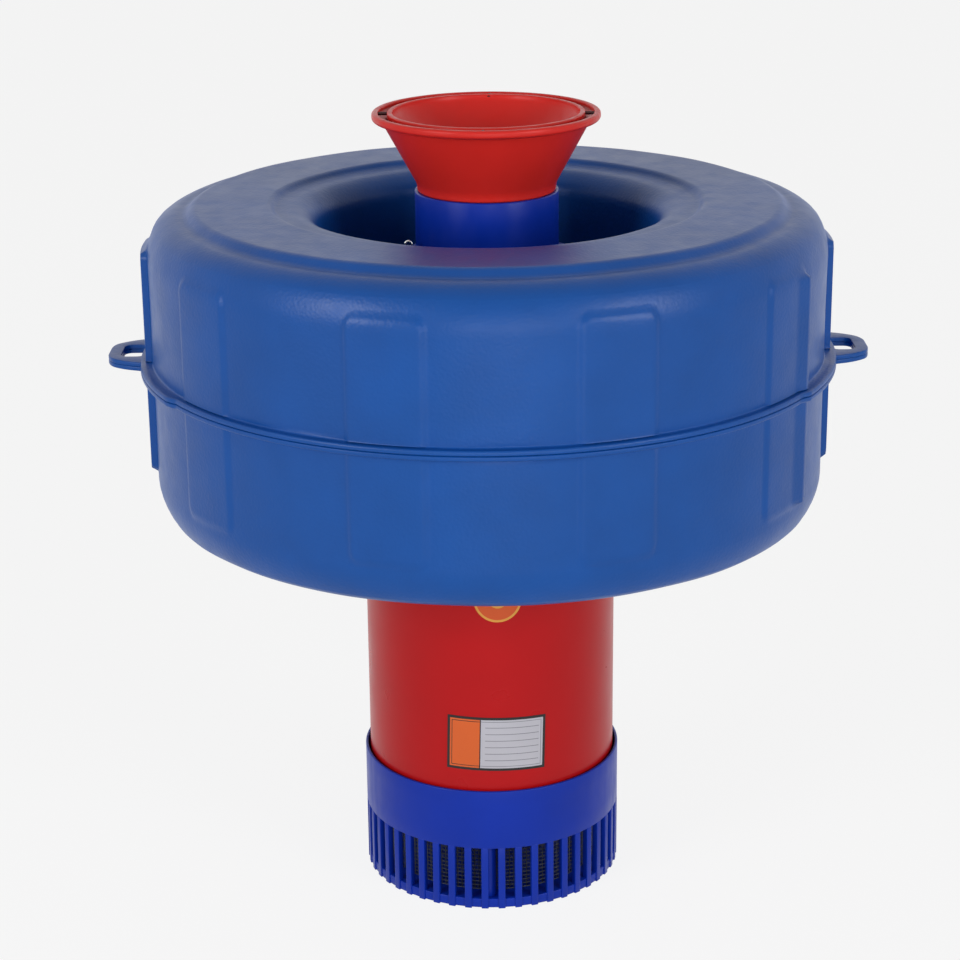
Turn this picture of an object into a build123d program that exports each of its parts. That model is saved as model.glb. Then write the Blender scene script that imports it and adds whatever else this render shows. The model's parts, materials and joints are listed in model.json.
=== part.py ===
"""Floating pond aerator.

A blow-moulded ring float carries a submerged mixed-flow pump. Water enters the slotted
strainer, passes the impeller and the vaned diffuser, rises round the sealed motor inside the
red casing tube, and leaves through the ring slot between the flared horn and its inner cone.

Millimetres, +Z up. The origin is the centre of the strainer's lowest edge, the front looks
along -Y, and the two mooring lugs point along +X and -X.
"""

import os
from math import cos, radians, sin, tan

from build123d import *

os.makedirs("parts", exist_ok=True)

# Casing tube
tube_r = 114.3
tube_wall = 3.0
tube_length = 410.0

# Strainer with its collar, slots and screw posts
collar_gap = 2.0
collar_wall = 2.6
collar_height = 52.0
foot_height = 2.5
base_thick = 7.0
base_inset = 1.2
basket_wall = 5.5
slot_count = 48
slot_width = 9.0
slot_height = 51.5
ledge_thick = 5.0
ledge_run = 26.9
post_count = 4
post_r = 6.5
post_angle = -92.0
drain_count = 8
drain_length = 34.0
drain_circle_r = 46.0
drain_width = 7.0

# Inlet screen inside the strainer
screen_band = 3.0
screen_strips = 24
screen_strip_width = 2.4
screen_clear = 1.0

# Suction cover with its bellmouth
cover_thick = 6.0
eye_r = 52.0
bell_drop = 16.0
bell_run = 13.0
bell_wall = 3.5
bell_knee_share = 1 / 3
bell_fall_share = 2 / 3

# Diffuser casing: outer skirt, flow passage, hub and vanes
skirt_wall = 4.0
casing_height = 93.0
passage_wall = 4.0
skirt_flare = 12.0
throat_height = 8.0
wheel_height = 36.0
wheel_tip_r = 80.0
vane_count = 7
vane_thick = 3.0
vane_lean = 17.0
vane_bow_r = 51.0
vane_trim_arc = 60.0
vane_bite = 1.0
hub_step = 25.0
hub_length = 37.0
hub_flare_rise = 17.0
flow_bend_rise = 20.0
outlet_land = 8.0
hub_wall = 5.0
hub_gap = 3.0

# Impeller
blade_count = 5
blade_thick_root = 4.0
blade_thick_tip = 2.4
tip_clear = 1.0
blade_lean_root = 12.0
blade_lean_tip = 30.0
blade_edge = 2.0
blade_bow_r = 86.4
blade_root_step = 3.0
blade_root_bite = 2.0
blade_overrun = 8.0
blade_back_step = 6.0
blade_trim_arc = 160.0
wheel_knee_run = 6.0
wheel_knee_rise = 12.0
wheel_root_r = 17.0
wheel_back_r = 50.0
sleeve_r = 12.9
sleeve_rise = 6.5

# Shaft with its steps, key and end nut
shaft_end_r = 7.0
shaft_wheel_r = 9.0
shaft_seal_r = 11.0
shaft_low_r = 12.5
shaft_high_r = 10.0
shaft_fit = 0.03
nut_height = 12.0
nut_across = 21.0
nut_cover = 1.0
key_width = 5.0
key_height = 5.0
key_length = 24.0
key_inset = 4.0

# Shaft seal
seal_r = 19.0
seal_waist = 2.0
seal_bellows_height = 5.5
seal_ring_height = 7.5
seal_seat_height = 8.0
seal_face_gap = 0.3

# Motor
can_r = 78.0
can_wall = 3.0
can_length = 226.0
bell_flange = 10.0
spigot_height = 10.0
spigot_fit = 0.1
spigot_wall = 8.0
stack_length = 135.0
stack_rise = 39.0
stator_bore_r = 42.6
stator_slots = 18
stator_slot_width = 6.0
stator_slot_depth = 17.4
rotor_gap = 0.6
coil_height = 26.0
coil_inset = 3.4
coil_room = 9.0
coil_clear = 0.3
bar_ring_height = 10.0
bar_ring_gap = 11.5
bar_ring_step = 1.0
bar_inset = 2.0
bush_wall = 4.5
bush_length = 20.0
bush_run = 0.05
bush_seat_wall = 7.0
bush_space = 4.0
bush_drop = 2.0
shaft_land = 2.0
cap_plate = 8.0
cap_dome_rise = 16.0
cap_shoulder = 20.0

# Tie rods
rod_count = 4
rod_r = 4.0
rod_inset = 8.3
rod_boss_r = 7.5
rod_boss_height = 22.0
rod_angle = -47.0
rod_nut_across = 13.0
rod_nut_height = 8.0
rod_stub = 1.5
rod_end_wall = 4.0

# Discharge head
seal_thick = 2.0
well_clear = 8.0
head_flange_thick = 10.0
dome_clear = 10.0
dome_wall = 5.0
dome_rise = 60.0
dome_skirt = 12.0
dome_bend = 34.0
socket_rise = 86.0
socket_wall = 6.5
socket_depth = 32.0
rim_run = 14.3
rim_height = 10.0
rib_count = 6
rib_thick = 5.0
rib_inset = 3.0
rib_step = 4.0

# Outlet pipe
pipe_r = 63.2
pipe_wall = 3.5
pipe_length = 93.0
glue_gap = 0.3

# Spray horn and inner cone
horn_wall = 3.0
horn_foot_length = 33.0
horn_step_inset = 2.2
horn_neck_height = 7.0
horn_height = 69.0
horn_lip_r = 100.0
horn_lip_height = 8.0
flare_step = 9.0
lip_under_rise = 2.0
bead_round = 2.0
mouth_wall = 6.0
mouth_land = 4.5
nozzle_gap = 7.7
cone_wall = 4.8
cone_depth = 64.0
cone_rim_height = 5.0
cone_nose_rise = 6.0
cone_nose_share = 0.36
spacer_r = 1.5
spacer_count = 4
spacer_angle = -92.0
spacer_drop = 2.5
spacer_cover = 3.0

# Float
float_r = 298.5
float_wall = 4.0
haunch_wall = 12.0
float_low_depth = 136.0
float_shoulder_rise = 132.5
float_top_rise = 139.5
shoulder_run = 30.0
shoulder_height = 42.0
shoulder_rise = 27.0
heel_run = 30.0
heel_height = 40.0
heel_fall = 25.0
step_inset = 34.0
step_run = 6.5
crown_run = 19.0
crown_drop = 4.5
lip_round = 21.0
lip_fall = 1.0
well_ledge = 31.0
bore_gap = 4.7
bore_round = 10.0
seam_rise = 19.0
ledge_plate = 6.0
flange_proud = 7.0
flange_half = 4.5
wide_proud = 11.0
wide_arc = 60.0
pad_count = 10
pad_arc = 12.5
pad_rise = 3.5
pad_low = 97.0
pad_high = 108.0
pad_sink = 8.0
pad_slope = 55.0
pad_round = 5.0
pad_cap = 8.0
pad_side_trim = 10.5
pad_end_trim = 5.25
pad_over = 1.0
pad_angle = -106.1

# Mooring lugs
lug_reach = 40.5
lug_root_half = 44.0
lug_mid_half = 32.0
lug_mid_reach = 30.0
lug_tip_half = 17.0
lug_half = 4.0
lug_slot_length = 38.0
lug_slot_width = 21.0
lug_bar = 11.5
lug_slot_round = 9.5

# Bolts that hold the head to the float
bolt_count = 6
bolt_r = 4.0
bolt_land = 12.0
bolt_hole_r = 4.5
bolt_head_across = 13.0
bolt_head_height = 5.5
bolt_nut_height = 6.5
bolt_stub = 3.0
bolt_angle = -90.0

# Strainer screws
screw_r = 2.5
screw_hole_r = 2.8
screw_head_r = 4.6
screw_head_height = 2.2
screw_grip = 10.0
screw_end_wall = 2.0
screw_fit = 0.05

# Cable gland and screw eye on the discharge head
gland_angle = 90.0
gland_offset = 13.0
gland_boss_r = 14.0
gland_boss_rise = 16.0
gland_thread_r = 8.0
gland_across = 22.0
gland_hex_height = 8.0
gland_thread_length = 9.0
gland_nut_across = 20.0
gland_nut_height = 14.0
gland_nut_step = 1.0
gland_seal_r = 7.0
gland_seal_length = 10.0
cable_r = 5.2
eye_angle = 207.0
eye_inset = 7.0
eye_loop_r = 4.2
eye_wire = 1.8
eye_stem_height = 17.0
eye_thread = 8.0

# Heights and radii that follow from the driving dimensions
strainer_r = tube_r + collar_gap + collar_wall
floor_z = foot_height + base_thick
ledge_z = floor_z + slot_height
tube_z = ledge_z + ledge_thick
tube_in_r = tube_r - tube_wall
slide_fit = 0.4
inset_r = tube_in_r - slide_fit
post_circle_r = strainer_r - basket_wall - post_r
ledge_in_r = strainer_r - ledge_run
casing_z = tube_z + cover_thick
casing_top_z = casing_z + casing_height
wheel_low_z = casing_z + throat_height
wheel_top_z = wheel_low_z + wheel_height
hub_z = wheel_top_z + hub_gap
bell_z = hub_z + hub_length
can_z = bell_z + bell_flange
can_top_z = can_z + can_length
can_in_r = can_r - can_wall
hub_in_r = can_r - hub_step
stator_slot_r = stator_bore_r + stator_slot_depth
coil_in_r = stator_bore_r + coil_inset
coil_out_r = can_in_r - coil_room
bar_ring_in_r = shaft_low_r + bar_ring_gap
stack_z = can_z + stack_rise
stack_top_z = stack_z + stack_length
sleeve_top_z = hub_z + sleeve_rise
ring_z = sleeve_top_z + seal_bellows_height
seat_z = ring_z + seal_ring_height + seal_face_gap
key_z = wheel_low_z + key_inset
shaft_low_z = wheel_low_z - nut_height + nut_cover
low_bush_z = seat_z + seal_seat_height + bush_space
high_bush_z = can_top_z - bush_drop - bush_length
shaft_top_z = high_bush_z + bush_length + shaft_land
tube_top_z = tube_z + tube_length
head_z = tube_top_z + seal_thick
head_top_z = head_z + head_flange_thick
dome_top_z = head_top_z + dome_rise
socket_top_z = head_top_z + socket_rise + rim_height
pipe_z = socket_top_z - socket_depth
pipe_top_z = pipe_z + pipe_length
pipe_in_r = pipe_r - pipe_wall
horn_top_z = pipe_top_z + horn_height
horn_mouth_r = horn_lip_r - mouth_wall
flare_r = horn_lip_r - flare_step
cone_rim_r = horn_mouth_r - nozzle_gap
spacer_in_r = cone_rim_r - cone_wall
spacer_out_r = horn_lip_r - spacer_cover
float_ledge_z = head_z - 2 * ledge_plate
rod_circle_r = tube_in_r - rod_inset
dome_base_r = rod_circle_r - dome_clear
seam_z = head_z + seam_rise
bore_r = tube_r + bore_gap
well_r = bore_r + well_ledge
head_flange_r = well_r - well_clear
bolt_circle_r = bore_r + bolt_land
socket_r = pipe_r + socket_wall
rim_r = socket_r + rim_run
horn_step_r = pipe_r - horn_step_inset
gland_circle_r = dome_base_r + gland_offset
eye_circle_r = rim_r - eye_inset
shoulder_z = seam_z + float_shoulder_rise
crown_z = seam_z + float_top_rise
keel_z = seam_z - float_low_depth
spring_z = shoulder_z - shoulder_height
heel_z = keel_z + heel_height
lip_r = well_r + lip_round
step_r = float_r - step_inset
crown_r = lip_r + crown_run
throat_z = crown_z - crown_drop - lip_fall - lip_round


def radial_plane(azimuth):
    """Upright plane through the Z axis, local X outwards along the azimuth and local Y up."""
    turn = radians(azimuth)
    return Plane(origin=(0, 0, 0), x_dir=(cos(turn), sin(turn), 0), z_dir=(sin(turn), -cos(turn), 0))


def on_circle(radius, azimuth, height=0):
    """Point at a radius and azimuth about the Z axis."""
    turn = radians(azimuth)
    return (radius * cos(turn), radius * sin(turn), height)


def ring_face(inner, outer, low, high):
    """Section of a plain ring, drawn on the open upright sketch."""
    Polygon((inner, low), (outer, low), (outer, high), (inner, high), align=None)


# Strainer
with BuildPart() as strainer:
    with BuildSketch(Plane.XZ):
        ring_face(strainer_r - basket_wall, strainer_r, 0, ledge_z)
    revolve(axis=Axis.Z)
    with BuildSketch(Plane.YZ.offset(strainer_r - 2 * basket_wall)):
        Rectangle(slot_width, 2 * ledge_z)
    slot_blank = extrude(amount=3 * basket_wall, mode=Mode.PRIVATE)
    with PolarLocations(0, slot_count):
        add(slot_blank, mode=Mode.SUBTRACT)
    with BuildSketch(Plane.XZ):
        ring_face(0, strainer_r - base_inset, foot_height, floor_z)
        ring_face(ledge_in_r, strainer_r, ledge_z, tube_z)
        ring_face(strainer_r - collar_wall, strainer_r, tube_z, tube_z + collar_height)
    revolve(axis=Axis.Z)
    with BuildSketch(Plane.XY.offset(floor_z)):
        with PolarLocations(post_circle_r, post_count, start_angle=post_angle):
            Circle(post_r)
    extrude(amount=slot_height)
    with BuildSketch(Plane.XY):
        with PolarLocations(post_circle_r, post_count, start_angle=post_angle):
            Circle(screw_hole_r)
        with PolarLocations(drain_circle_r, drain_count):
            SlotOverall(drain_length, drain_width)
    extrude(amount=tube_z, mode=Mode.SUBTRACT)
strainer.part.label = "strainer"
export_step(strainer.part, "parts/strainer.step")

# Inlet screen: two bands joined by upright strips
screen_r = post_circle_r - post_r - screen_clear
with BuildPart() as inlet_screen:
    with BuildSketch(Plane.XZ):
        ring_face(screen_r - screen_band, screen_r, floor_z, floor_z + screen_band)
        ring_face(screen_r - screen_band, screen_r, ledge_z - screen_band, ledge_z)
    revolve(axis=Axis.Z)
    with BuildSketch(Plane.XY.offset(floor_z)):
        with PolarLocations(screen_r - screen_band / 2, screen_strips):
            Rectangle(screen_band / 2, screen_strip_width)
    extrude(amount=slot_height)
inlet_screen.part.label = "inlet_screen"
export_step(inlet_screen.part, "parts/inlet_screen.step")

# Suction cover: flat ring with a bellmouth that hangs into the strainer
bell_knee_r = eye_r + bell_knee_share * bell_run
bell_knee_z = tube_z - bell_fall_share * bell_drop
with BuildPart() as suction_cover:
    with BuildSketch(Plane.XZ):
        Polygon(
            (eye_r, casing_z), (eye_r, tube_z), (bell_knee_r, bell_knee_z),
            (eye_r + bell_run, tube_z - bell_drop), (eye_r + bell_run + bell_wall, tube_z - bell_drop),
            (bell_knee_r + bell_wall, bell_knee_z), (eye_r + bell_wall, tube_z),
            (inset_r, tube_z), (inset_r, casing_z),
            align=None,
        )
    revolve(axis=Axis.Z)
    with BuildSketch(Plane.XY.offset(tube_z)):
        with PolarLocations(post_circle_r, post_count, start_angle=post_angle):
            Circle(screw_hole_r)
    extrude(amount=cover_thick, mode=Mode.SUBTRACT)
suction_cover.part.label = "suction_cover"
export_step(suction_cover.part, "parts/suction_cover.step")

# Screws that hold the strainer and the suction cover to the diffuser casing
screw_top_z = casing_z + screw_grip
with BuildPart() as strainer_screws:
    with BuildSketch(Plane.XY.offset(foot_height)):
        with PolarLocations(post_circle_r, post_count, start_angle=post_angle):
            Circle(screw_r)
    extrude(amount=screw_top_z - foot_height)
    with BuildSketch(Plane.XY.offset(foot_height - screw_head_height)):
        with PolarLocations(post_circle_r, post_count, start_angle=post_angle):
            Circle(screw_head_r)
    extrude(amount=screw_head_height)
strainer_screws.part.label = "strainer_screws"
export_step(strainer_screws.part, "parts/strainer_screws.step")

# Diffuser casing: skirt, flow passage, hub, guide vanes, screw bosses and tie rod bosses
skirt_in_r = inset_r - skirt_wall
flow_bend_r = (wheel_tip_r + skirt_in_r) / 2
flow_bend_z = hub_z + flow_bend_rise
flow_top_z = casing_top_z - outlet_land
hub_flare_r = (hub_in_r + can_r) / 2
hub_flare_z = hub_z + hub_flare_rise
hub_rim_z = bell_z - hub_gap
shaft_hole_r = sleeve_r + slide_fit
with BuildPart() as vane_blank:
    with BuildSketch(Plane.YZ.offset(hub_in_r - hub_wall)):
        with BuildLine():
            face = RadiusArc((-vane_lean, hub_z), (vane_lean / 2, flow_top_z), vane_bow_r)
            edge = Line(face @ 1, (vane_lean / 2 + vane_thick, flow_top_z))
            back = RadiusArc(edge @ 1, (vane_thick - vane_lean, hub_z), -vane_bow_r)
            Line(back @ 1, face @ 0)
        make_face()
    extrude(amount=inset_r)
    with BuildSketch(radial_plane(-vane_trim_arc / 2)):
        Polygon(
            (hub_in_r - vane_bite, hub_z), (wheel_tip_r + 2 * vane_bite, hub_z),
            (flow_bend_r + vane_bite, flow_bend_z), (skirt_in_r + vane_bite, bell_z - vane_bite),
            (can_r - vane_bite, bell_z - vane_bite), (can_r - vane_bite, hub_rim_z),
            (hub_flare_r - vane_bite, hub_flare_z),
            align=None,
        )
    revolve(axis=Axis.Z, revolution_arc=vane_trim_arc, mode=Mode.INTERSECT)
with BuildPart() as diffuser_casing:
    with BuildSketch(Plane.XZ):
        Polygon(
            (eye_r + tip_clear, casing_z), (eye_r + 2 * tip_clear, wheel_low_z),
            (wheel_tip_r, wheel_top_z), (flow_bend_r, flow_bend_z), (skirt_in_r, flow_top_z),
            (skirt_in_r, casing_top_z), (inset_r, casing_top_z), (inset_r, casing_z),
            (skirt_in_r, casing_z), (skirt_in_r, flow_top_z - skirt_flare),
            (flow_bend_r + passage_wall, flow_bend_z - passage_wall),
            (wheel_tip_r + passage_wall, wheel_top_z),
            (eye_r + 2 * tip_clear + passage_wall, wheel_low_z),
            (eye_r + tip_clear + passage_wall, casing_z),
            align=None,
        )
        Polygon(
            (shaft_hole_r, hub_z), (hub_in_r, hub_z), (hub_flare_r, hub_flare_z), (can_r, hub_rim_z),
            (can_r, bell_z), (can_in_r - hub_wall, bell_z), (can_in_r - hub_wall, bell_z - outlet_land),
            (hub_flare_r - hub_wall, hub_flare_z), (hub_in_r - hub_wall, hub_z + hub_wall),
            (shaft_hole_r, hub_z + hub_wall),
            align=None,
        )
    revolve(axis=Axis.Z)
    with PolarLocations(0, vane_count):
        add(vane_blank.part)
    with BuildSketch(Plane.XY.offset(casing_z)):
        with PolarLocations(post_circle_r, post_count, start_angle=post_angle):
            Circle(post_r)
    extrude(amount=screw_grip + screw_end_wall)
    with BuildSketch(Plane.XY.offset(casing_top_z - rod_boss_height)):
        with PolarLocations(rod_circle_r, rod_count, start_angle=rod_angle):
            Circle(rod_boss_r)
    extrude(amount=rod_boss_height)
    with BuildSketch(Plane.XY.offset(casing_top_z)):
        Circle(inset_r + 2 * rod_boss_r)
        Circle(inset_r, mode=Mode.SUBTRACT)
    extrude(amount=-casing_height, mode=Mode.SUBTRACT)
    with BuildSketch(Plane.XY.offset(casing_z)):
        with PolarLocations(post_circle_r, post_count, start_angle=post_angle):
            Circle(screw_r + screw_fit)
    extrude(amount=screw_grip, mode=Mode.SUBTRACT)
    with BuildSketch(Plane.XY.offset(casing_top_z)):
        with PolarLocations(rod_circle_r, rod_count, start_angle=rod_angle):
            Circle(rod_r + screw_fit)
    extrude(amount=rod_end_wall - rod_boss_height, mode=Mode.SUBTRACT)
diffuser_casing.part.label = "diffuser_casing"
export_step(diffuser_casing.part, "parts/diffuser_casing.step")

# Impeller blade: two curved sections, steep at the root and flat at the tip, joined and then
# trimmed to the hub and to the conical tip line
blade_root_x = shaft_wheel_r + blade_root_step
blade_tip_x = wheel_tip_r + blade_overrun
with BuildPart() as blade_blank:
    for offset, lean, thick in (
        (blade_root_x, blade_lean_root, blade_thick_root),
        (blade_tip_x, blade_lean_tip, blade_thick_tip),
    ):
        with BuildSketch(Plane.YZ.offset(offset)):
            with BuildLine():
                face = RadiusArc((-lean, wheel_low_z), (lean, wheel_top_z), -blade_bow_r)
                edge = Line(face @ 1, (lean - thick, wheel_top_z))
                back = RadiusArc(edge @ 1, (-lean - thick, wheel_low_z), blade_bow_r)
                Line(back @ 1, face @ 0)
            make_face()
    loft(ruled=True)
    with BuildSketch(radial_plane(-blade_trim_arc / 2)):
        Polygon(
            (shaft_wheel_r + blade_root_bite, wheel_low_z + blade_edge),
            (eye_r + tip_clear, wheel_low_z + blade_edge), (wheel_tip_r - tip_clear, wheel_top_z),
            (wheel_back_r - blade_back_step, wheel_top_z),
            align=None,
        )
    revolve(axis=Axis.Z, revolution_arc=blade_trim_arc, mode=Mode.INTERSECT)
with BuildPart() as impeller:
    with BuildSketch(Plane.XZ):
        Polygon(
            (shaft_wheel_r + shaft_fit, wheel_low_z), (wheel_root_r, wheel_low_z),
            (wheel_root_r + wheel_knee_run, wheel_low_z + wheel_knee_rise),
            (wheel_back_r, wheel_top_z - blade_edge),
            (wheel_back_r, wheel_top_z), (sleeve_r, wheel_top_z), (sleeve_r, sleeve_top_z),
            (shaft_wheel_r + shaft_fit, sleeve_top_z),
            align=None,
        )
    revolve(axis=Axis.Z)
    with PolarLocations(0, blade_count):
        add(blade_blank.part)
    with BuildSketch(Plane.XY.offset(wheel_low_z)):
        with Locations((shaft_wheel_r, 0)):
            Rectangle(key_height + 2 * shaft_fit, key_width + 2 * shaft_fit)
        Circle(shaft_wheel_r + shaft_fit)
    extrude(amount=sleeve_top_z - wheel_low_z, mode=Mode.SUBTRACT)
impeller.part.label = "impeller"
export_step(impeller.part, "parts/impeller.step")

# Impeller key
with BuildPart() as impeller_key:
    with BuildSketch(Plane.XY.offset(key_z)):
        with Locations((shaft_wheel_r, 0)):
            Rectangle(key_height, key_width)
    extrude(amount=key_length)
impeller_key.part.label = "impeller_key"
export_step(impeller_key.part, "parts/impeller_key.step")

# Impeller nut with a domed end
with BuildPart() as impeller_nut:
    with BuildSketch(Plane.XY.offset(wheel_low_z - nut_height)):
        RegularPolygon(nut_across / 2, 6, major_radius=False)
        Circle(shaft_end_r + shaft_fit, mode=Mode.SUBTRACT)
    extrude(amount=nut_height)
impeller_nut.part.label = "impeller_nut"
export_step(impeller_nut.part, "parts/impeller_nut.step")

# Shaft, stepped down at both ends, with a keyseat
with BuildPart() as shaft:
    with BuildSketch(Plane.XZ):
        Polygon(
            (0, shaft_low_z), (shaft_end_r, shaft_low_z),
            (shaft_end_r, wheel_low_z), (shaft_wheel_r, wheel_low_z), (shaft_wheel_r, sleeve_top_z),
            (shaft_seal_r, sleeve_top_z), (shaft_seal_r, low_bush_z - shaft_land),
            (shaft_low_r, low_bush_z - shaft_land), (shaft_low_r, high_bush_z - shaft_land),
            (shaft_high_r, high_bush_z - shaft_land),
            (shaft_high_r, shaft_top_z), (0, shaft_top_z),
            align=None,
        )
    revolve(axis=Axis.Z)
    with BuildSketch(Plane.XY.offset(key_z)):
        with Locations((shaft_wheel_r, 0)):
            Rectangle(key_height, key_width)
    extrude(amount=key_length, mode=Mode.SUBTRACT)
shaft.part.label = "shaft"
export_step(shaft.part, "parts/shaft.step")

# Shaft seal: rubber bellows and carbon ring turn with the shaft, the ceramic seat stands still
with BuildPart() as seal_bellows:
    with BuildSketch(Plane.XZ):
        ring_face(shaft_seal_r, seal_r - seal_waist, sleeve_top_z, ring_z)
    revolve(axis=Axis.Z)
seal_bellows.part.label = "seal_bellows"
export_step(seal_bellows.part, "parts/seal_bellows.step")

with BuildPart() as seal_ring:
    with BuildSketch(Plane.XZ):
        ring_face(shaft_seal_r + shaft_fit, seal_r, ring_z, ring_z + seal_ring_height)
    revolve(axis=Axis.Z)
seal_ring.part.label = "seal_ring"
export_step(seal_ring.part, "parts/seal_ring.step")

with BuildPart() as seal_seat:
    with BuildSketch(Plane.XZ):
        ring_face(shaft_seal_r + slide_fit, seal_r, seat_z, seat_z + seal_seat_height)
    revolve(axis=Axis.Z)
seal_seat.part.label = "seal_seat"
export_step(seal_seat.part, "parts/seal_seat.step")

# Lower end bell: closes the motor can, holds the seal seat below and the lower bush above
low_bush_r = shaft_low_r + bush_run + bush_wall
spigot_in_r = can_in_r - spigot_wall
with BuildPart() as lower_end_bell:
    with BuildSketch(Plane.XZ):
        Polygon(
            (seal_r, seat_z), (seal_r + bush_seat_wall, seat_z), (seal_r + bush_seat_wall, bell_z),
            (can_r, bell_z), (can_r, can_z), (can_in_r - spigot_fit, can_z),
            (can_in_r - spigot_fit, can_z + spigot_height), (spigot_in_r, can_z + spigot_height),
            (spigot_in_r, can_z), (low_bush_r + bush_seat_wall, can_z),
            (low_bush_r + bush_seat_wall, low_bush_z + bush_length),
            (low_bush_r, low_bush_z + bush_length), (low_bush_r, low_bush_z),
            (shaft_low_r + shaft_land, low_bush_z), (shaft_low_r + shaft_land, seat_z + seal_seat_height),
            (seal_r, seat_z + seal_seat_height),
            align=None,
        )
    revolve(axis=Axis.Z)
lower_end_bell.part.label = "lower_end_bell"
export_step(lower_end_bell.part, "parts/lower_end_bell.step")

# Bearing bushes, one in each motor end
high_bush_r = shaft_high_r + bush_run + bush_wall
with BuildPart() as bearing_bushes:
    with BuildSketch(Plane.XZ):
        ring_face(shaft_low_r + bush_run, low_bush_r, low_bush_z, low_bush_z + bush_length)
        ring_face(shaft_high_r + bush_run, high_bush_r, high_bush_z, high_bush_z + bush_length)
    revolve(axis=Axis.Z)
bearing_bushes.part.label = "bearing_bushes"
export_step(bearing_bushes.part, "parts/bearing_bushes.step")

# Motor can
with BuildPart() as motor_can:
    with BuildSketch(Plane.XY.offset(can_z)):
        Circle(can_r)
        Circle(can_in_r, mode=Mode.SUBTRACT)
    extrude(amount=can_length)
motor_can.part.label = "motor_can"
export_step(motor_can.part, "parts/motor_can.step")

# Stator stack with open slots
with BuildPart() as stator_core:
    with BuildSketch(Plane.XY.offset(stack_z)):
        Circle(can_in_r - spigot_fit)
        Circle(stator_bore_r, mode=Mode.SUBTRACT)
        with PolarLocations(stator_slot_r / 2, stator_slots):
            Rectangle(stator_slot_r, stator_slot_width, mode=Mode.SUBTRACT)
    extrude(amount=stack_length)
stator_core.part.label = "stator_core"
export_step(stator_core.part, "parts/stator_core.step")

# Windings: one bar in each slot and a coil ring at each end
bar_low_r = stator_bore_r + bar_inset
bar_high_r = stator_slot_r - coil_clear
with BuildPart() as windings:
    with BuildSketch(Plane.XY.offset(stack_z - coil_clear)):
        with PolarLocations((bar_low_r + bar_high_r) / 2, stator_slots):
            Rectangle(bar_high_r - bar_low_r, stator_slot_width - 2 * coil_clear)
    extrude(amount=stack_length + 2 * coil_clear)
    with BuildSketch(Plane.XZ):
        ring_face(coil_in_r, coil_out_r, stack_z - coil_clear - coil_height, stack_z - coil_clear)
        ring_face(
            coil_in_r, coil_out_r, stack_top_z + coil_clear, stack_top_z + coil_clear + coil_height
        )
    revolve(axis=Axis.Z)
windings.part.label = "windings"
export_step(windings.part, "parts/windings.step")

# Rotor core with its end rings
rotor_r = stator_bore_r - rotor_gap
bar_ring_r = rotor_r - bar_ring_step
with BuildPart() as rotor_core:
    with BuildSketch(Plane.XZ):
        Polygon(
            (shaft_low_r, stack_z), (bar_ring_in_r, stack_z), (bar_ring_in_r, stack_z - bar_ring_height),
            (bar_ring_r, stack_z - bar_ring_height), (bar_ring_r, stack_z), (rotor_r, stack_z),
            (rotor_r, stack_top_z), (bar_ring_r, stack_top_z),
            (bar_ring_r, stack_top_z + bar_ring_height), (bar_ring_in_r, stack_top_z + bar_ring_height),
            (bar_ring_in_r, stack_top_z), (shaft_low_r, stack_top_z),
            align=None,
        )
    revolve(axis=Axis.Z)
rotor_core.part.label = "rotor_core"
export_step(rotor_core.part, "parts/rotor_core.step")

# Upper end cap with a domed top and the seat of the upper bush
cap_top_z = can_top_z + cap_plate
with BuildPart() as upper_end_cap:
    with BuildSketch(Plane.XZ):
        Polygon(
            (0, cap_top_z + cap_dome_rise), (can_r - cap_shoulder, cap_top_z + cap_dome_rise / 2),
            (can_r, cap_top_z), (can_r, can_top_z), (can_in_r - spigot_fit, can_top_z),
            (can_in_r - spigot_fit, can_top_z - spigot_height), (spigot_in_r, can_top_z - spigot_height),
            (spigot_in_r, can_top_z), (high_bush_r + bush_seat_wall, can_top_z),
            (high_bush_r + bush_seat_wall, high_bush_z), (high_bush_r, high_bush_z),
            (high_bush_r, high_bush_z + bush_length), (high_bush_r - bush_drop, shaft_top_z + shaft_land),
            (0, shaft_top_z + shaft_land),
            align=None,
        )
    revolve(axis=Axis.Z)
upper_end_cap.part.label = "upper_end_cap"
export_step(upper_end_cap.part, "parts/upper_end_cap.step")

# Casing tube
with BuildPart() as casing_tube:
    with BuildSketch(Plane.XY.offset(tube_z)):
        Circle(tube_r)
        Circle(tube_in_r, mode=Mode.SUBTRACT)
    extrude(amount=tube_length)
casing_tube.part.label = "casing_tube"
export_step(casing_tube.part, "parts/casing_tube.step")

# Tie rods and their nuts
rod_low_z = casing_top_z - rod_boss_height + rod_end_wall
with BuildPart() as tie_rods:
    with BuildSketch(Plane.XY.offset(rod_low_z)):
        with PolarLocations(rod_circle_r, rod_count, start_angle=rod_angle):
            Circle(rod_r)
    extrude(amount=head_top_z + rod_nut_height + rod_stub - rod_low_z)
tie_rods.part.label = "tie_rods"
export_step(tie_rods.part, "parts/tie_rods.step")

with BuildPart() as tie_rod_nuts:
    with BuildSketch(Plane.XY.offset(head_top_z)):
        with PolarLocations(rod_circle_r, rod_count, start_angle=rod_angle):
            RegularPolygon(rod_nut_across / 2, 6, major_radius=False)
            Circle(rod_r + screw_fit, mode=Mode.SUBTRACT)
    extrude(amount=rod_nut_height)
tie_rod_nuts.part.label = "tie_rod_nuts"
export_step(tie_rod_nuts.part, "parts/tie_rod_nuts.step")

# Flat seal between the casing tube and the discharge head
with BuildPart() as head_seal:
    with BuildSketch(Plane.XY.offset(tube_top_z)):
        Circle(tube_r)
        Circle(tube_in_r, mode=Mode.SUBTRACT)
    extrude(amount=seal_thick)
head_seal.part.label = "head_seal"
export_step(head_seal.part, "parts/head_seal.step")

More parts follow.
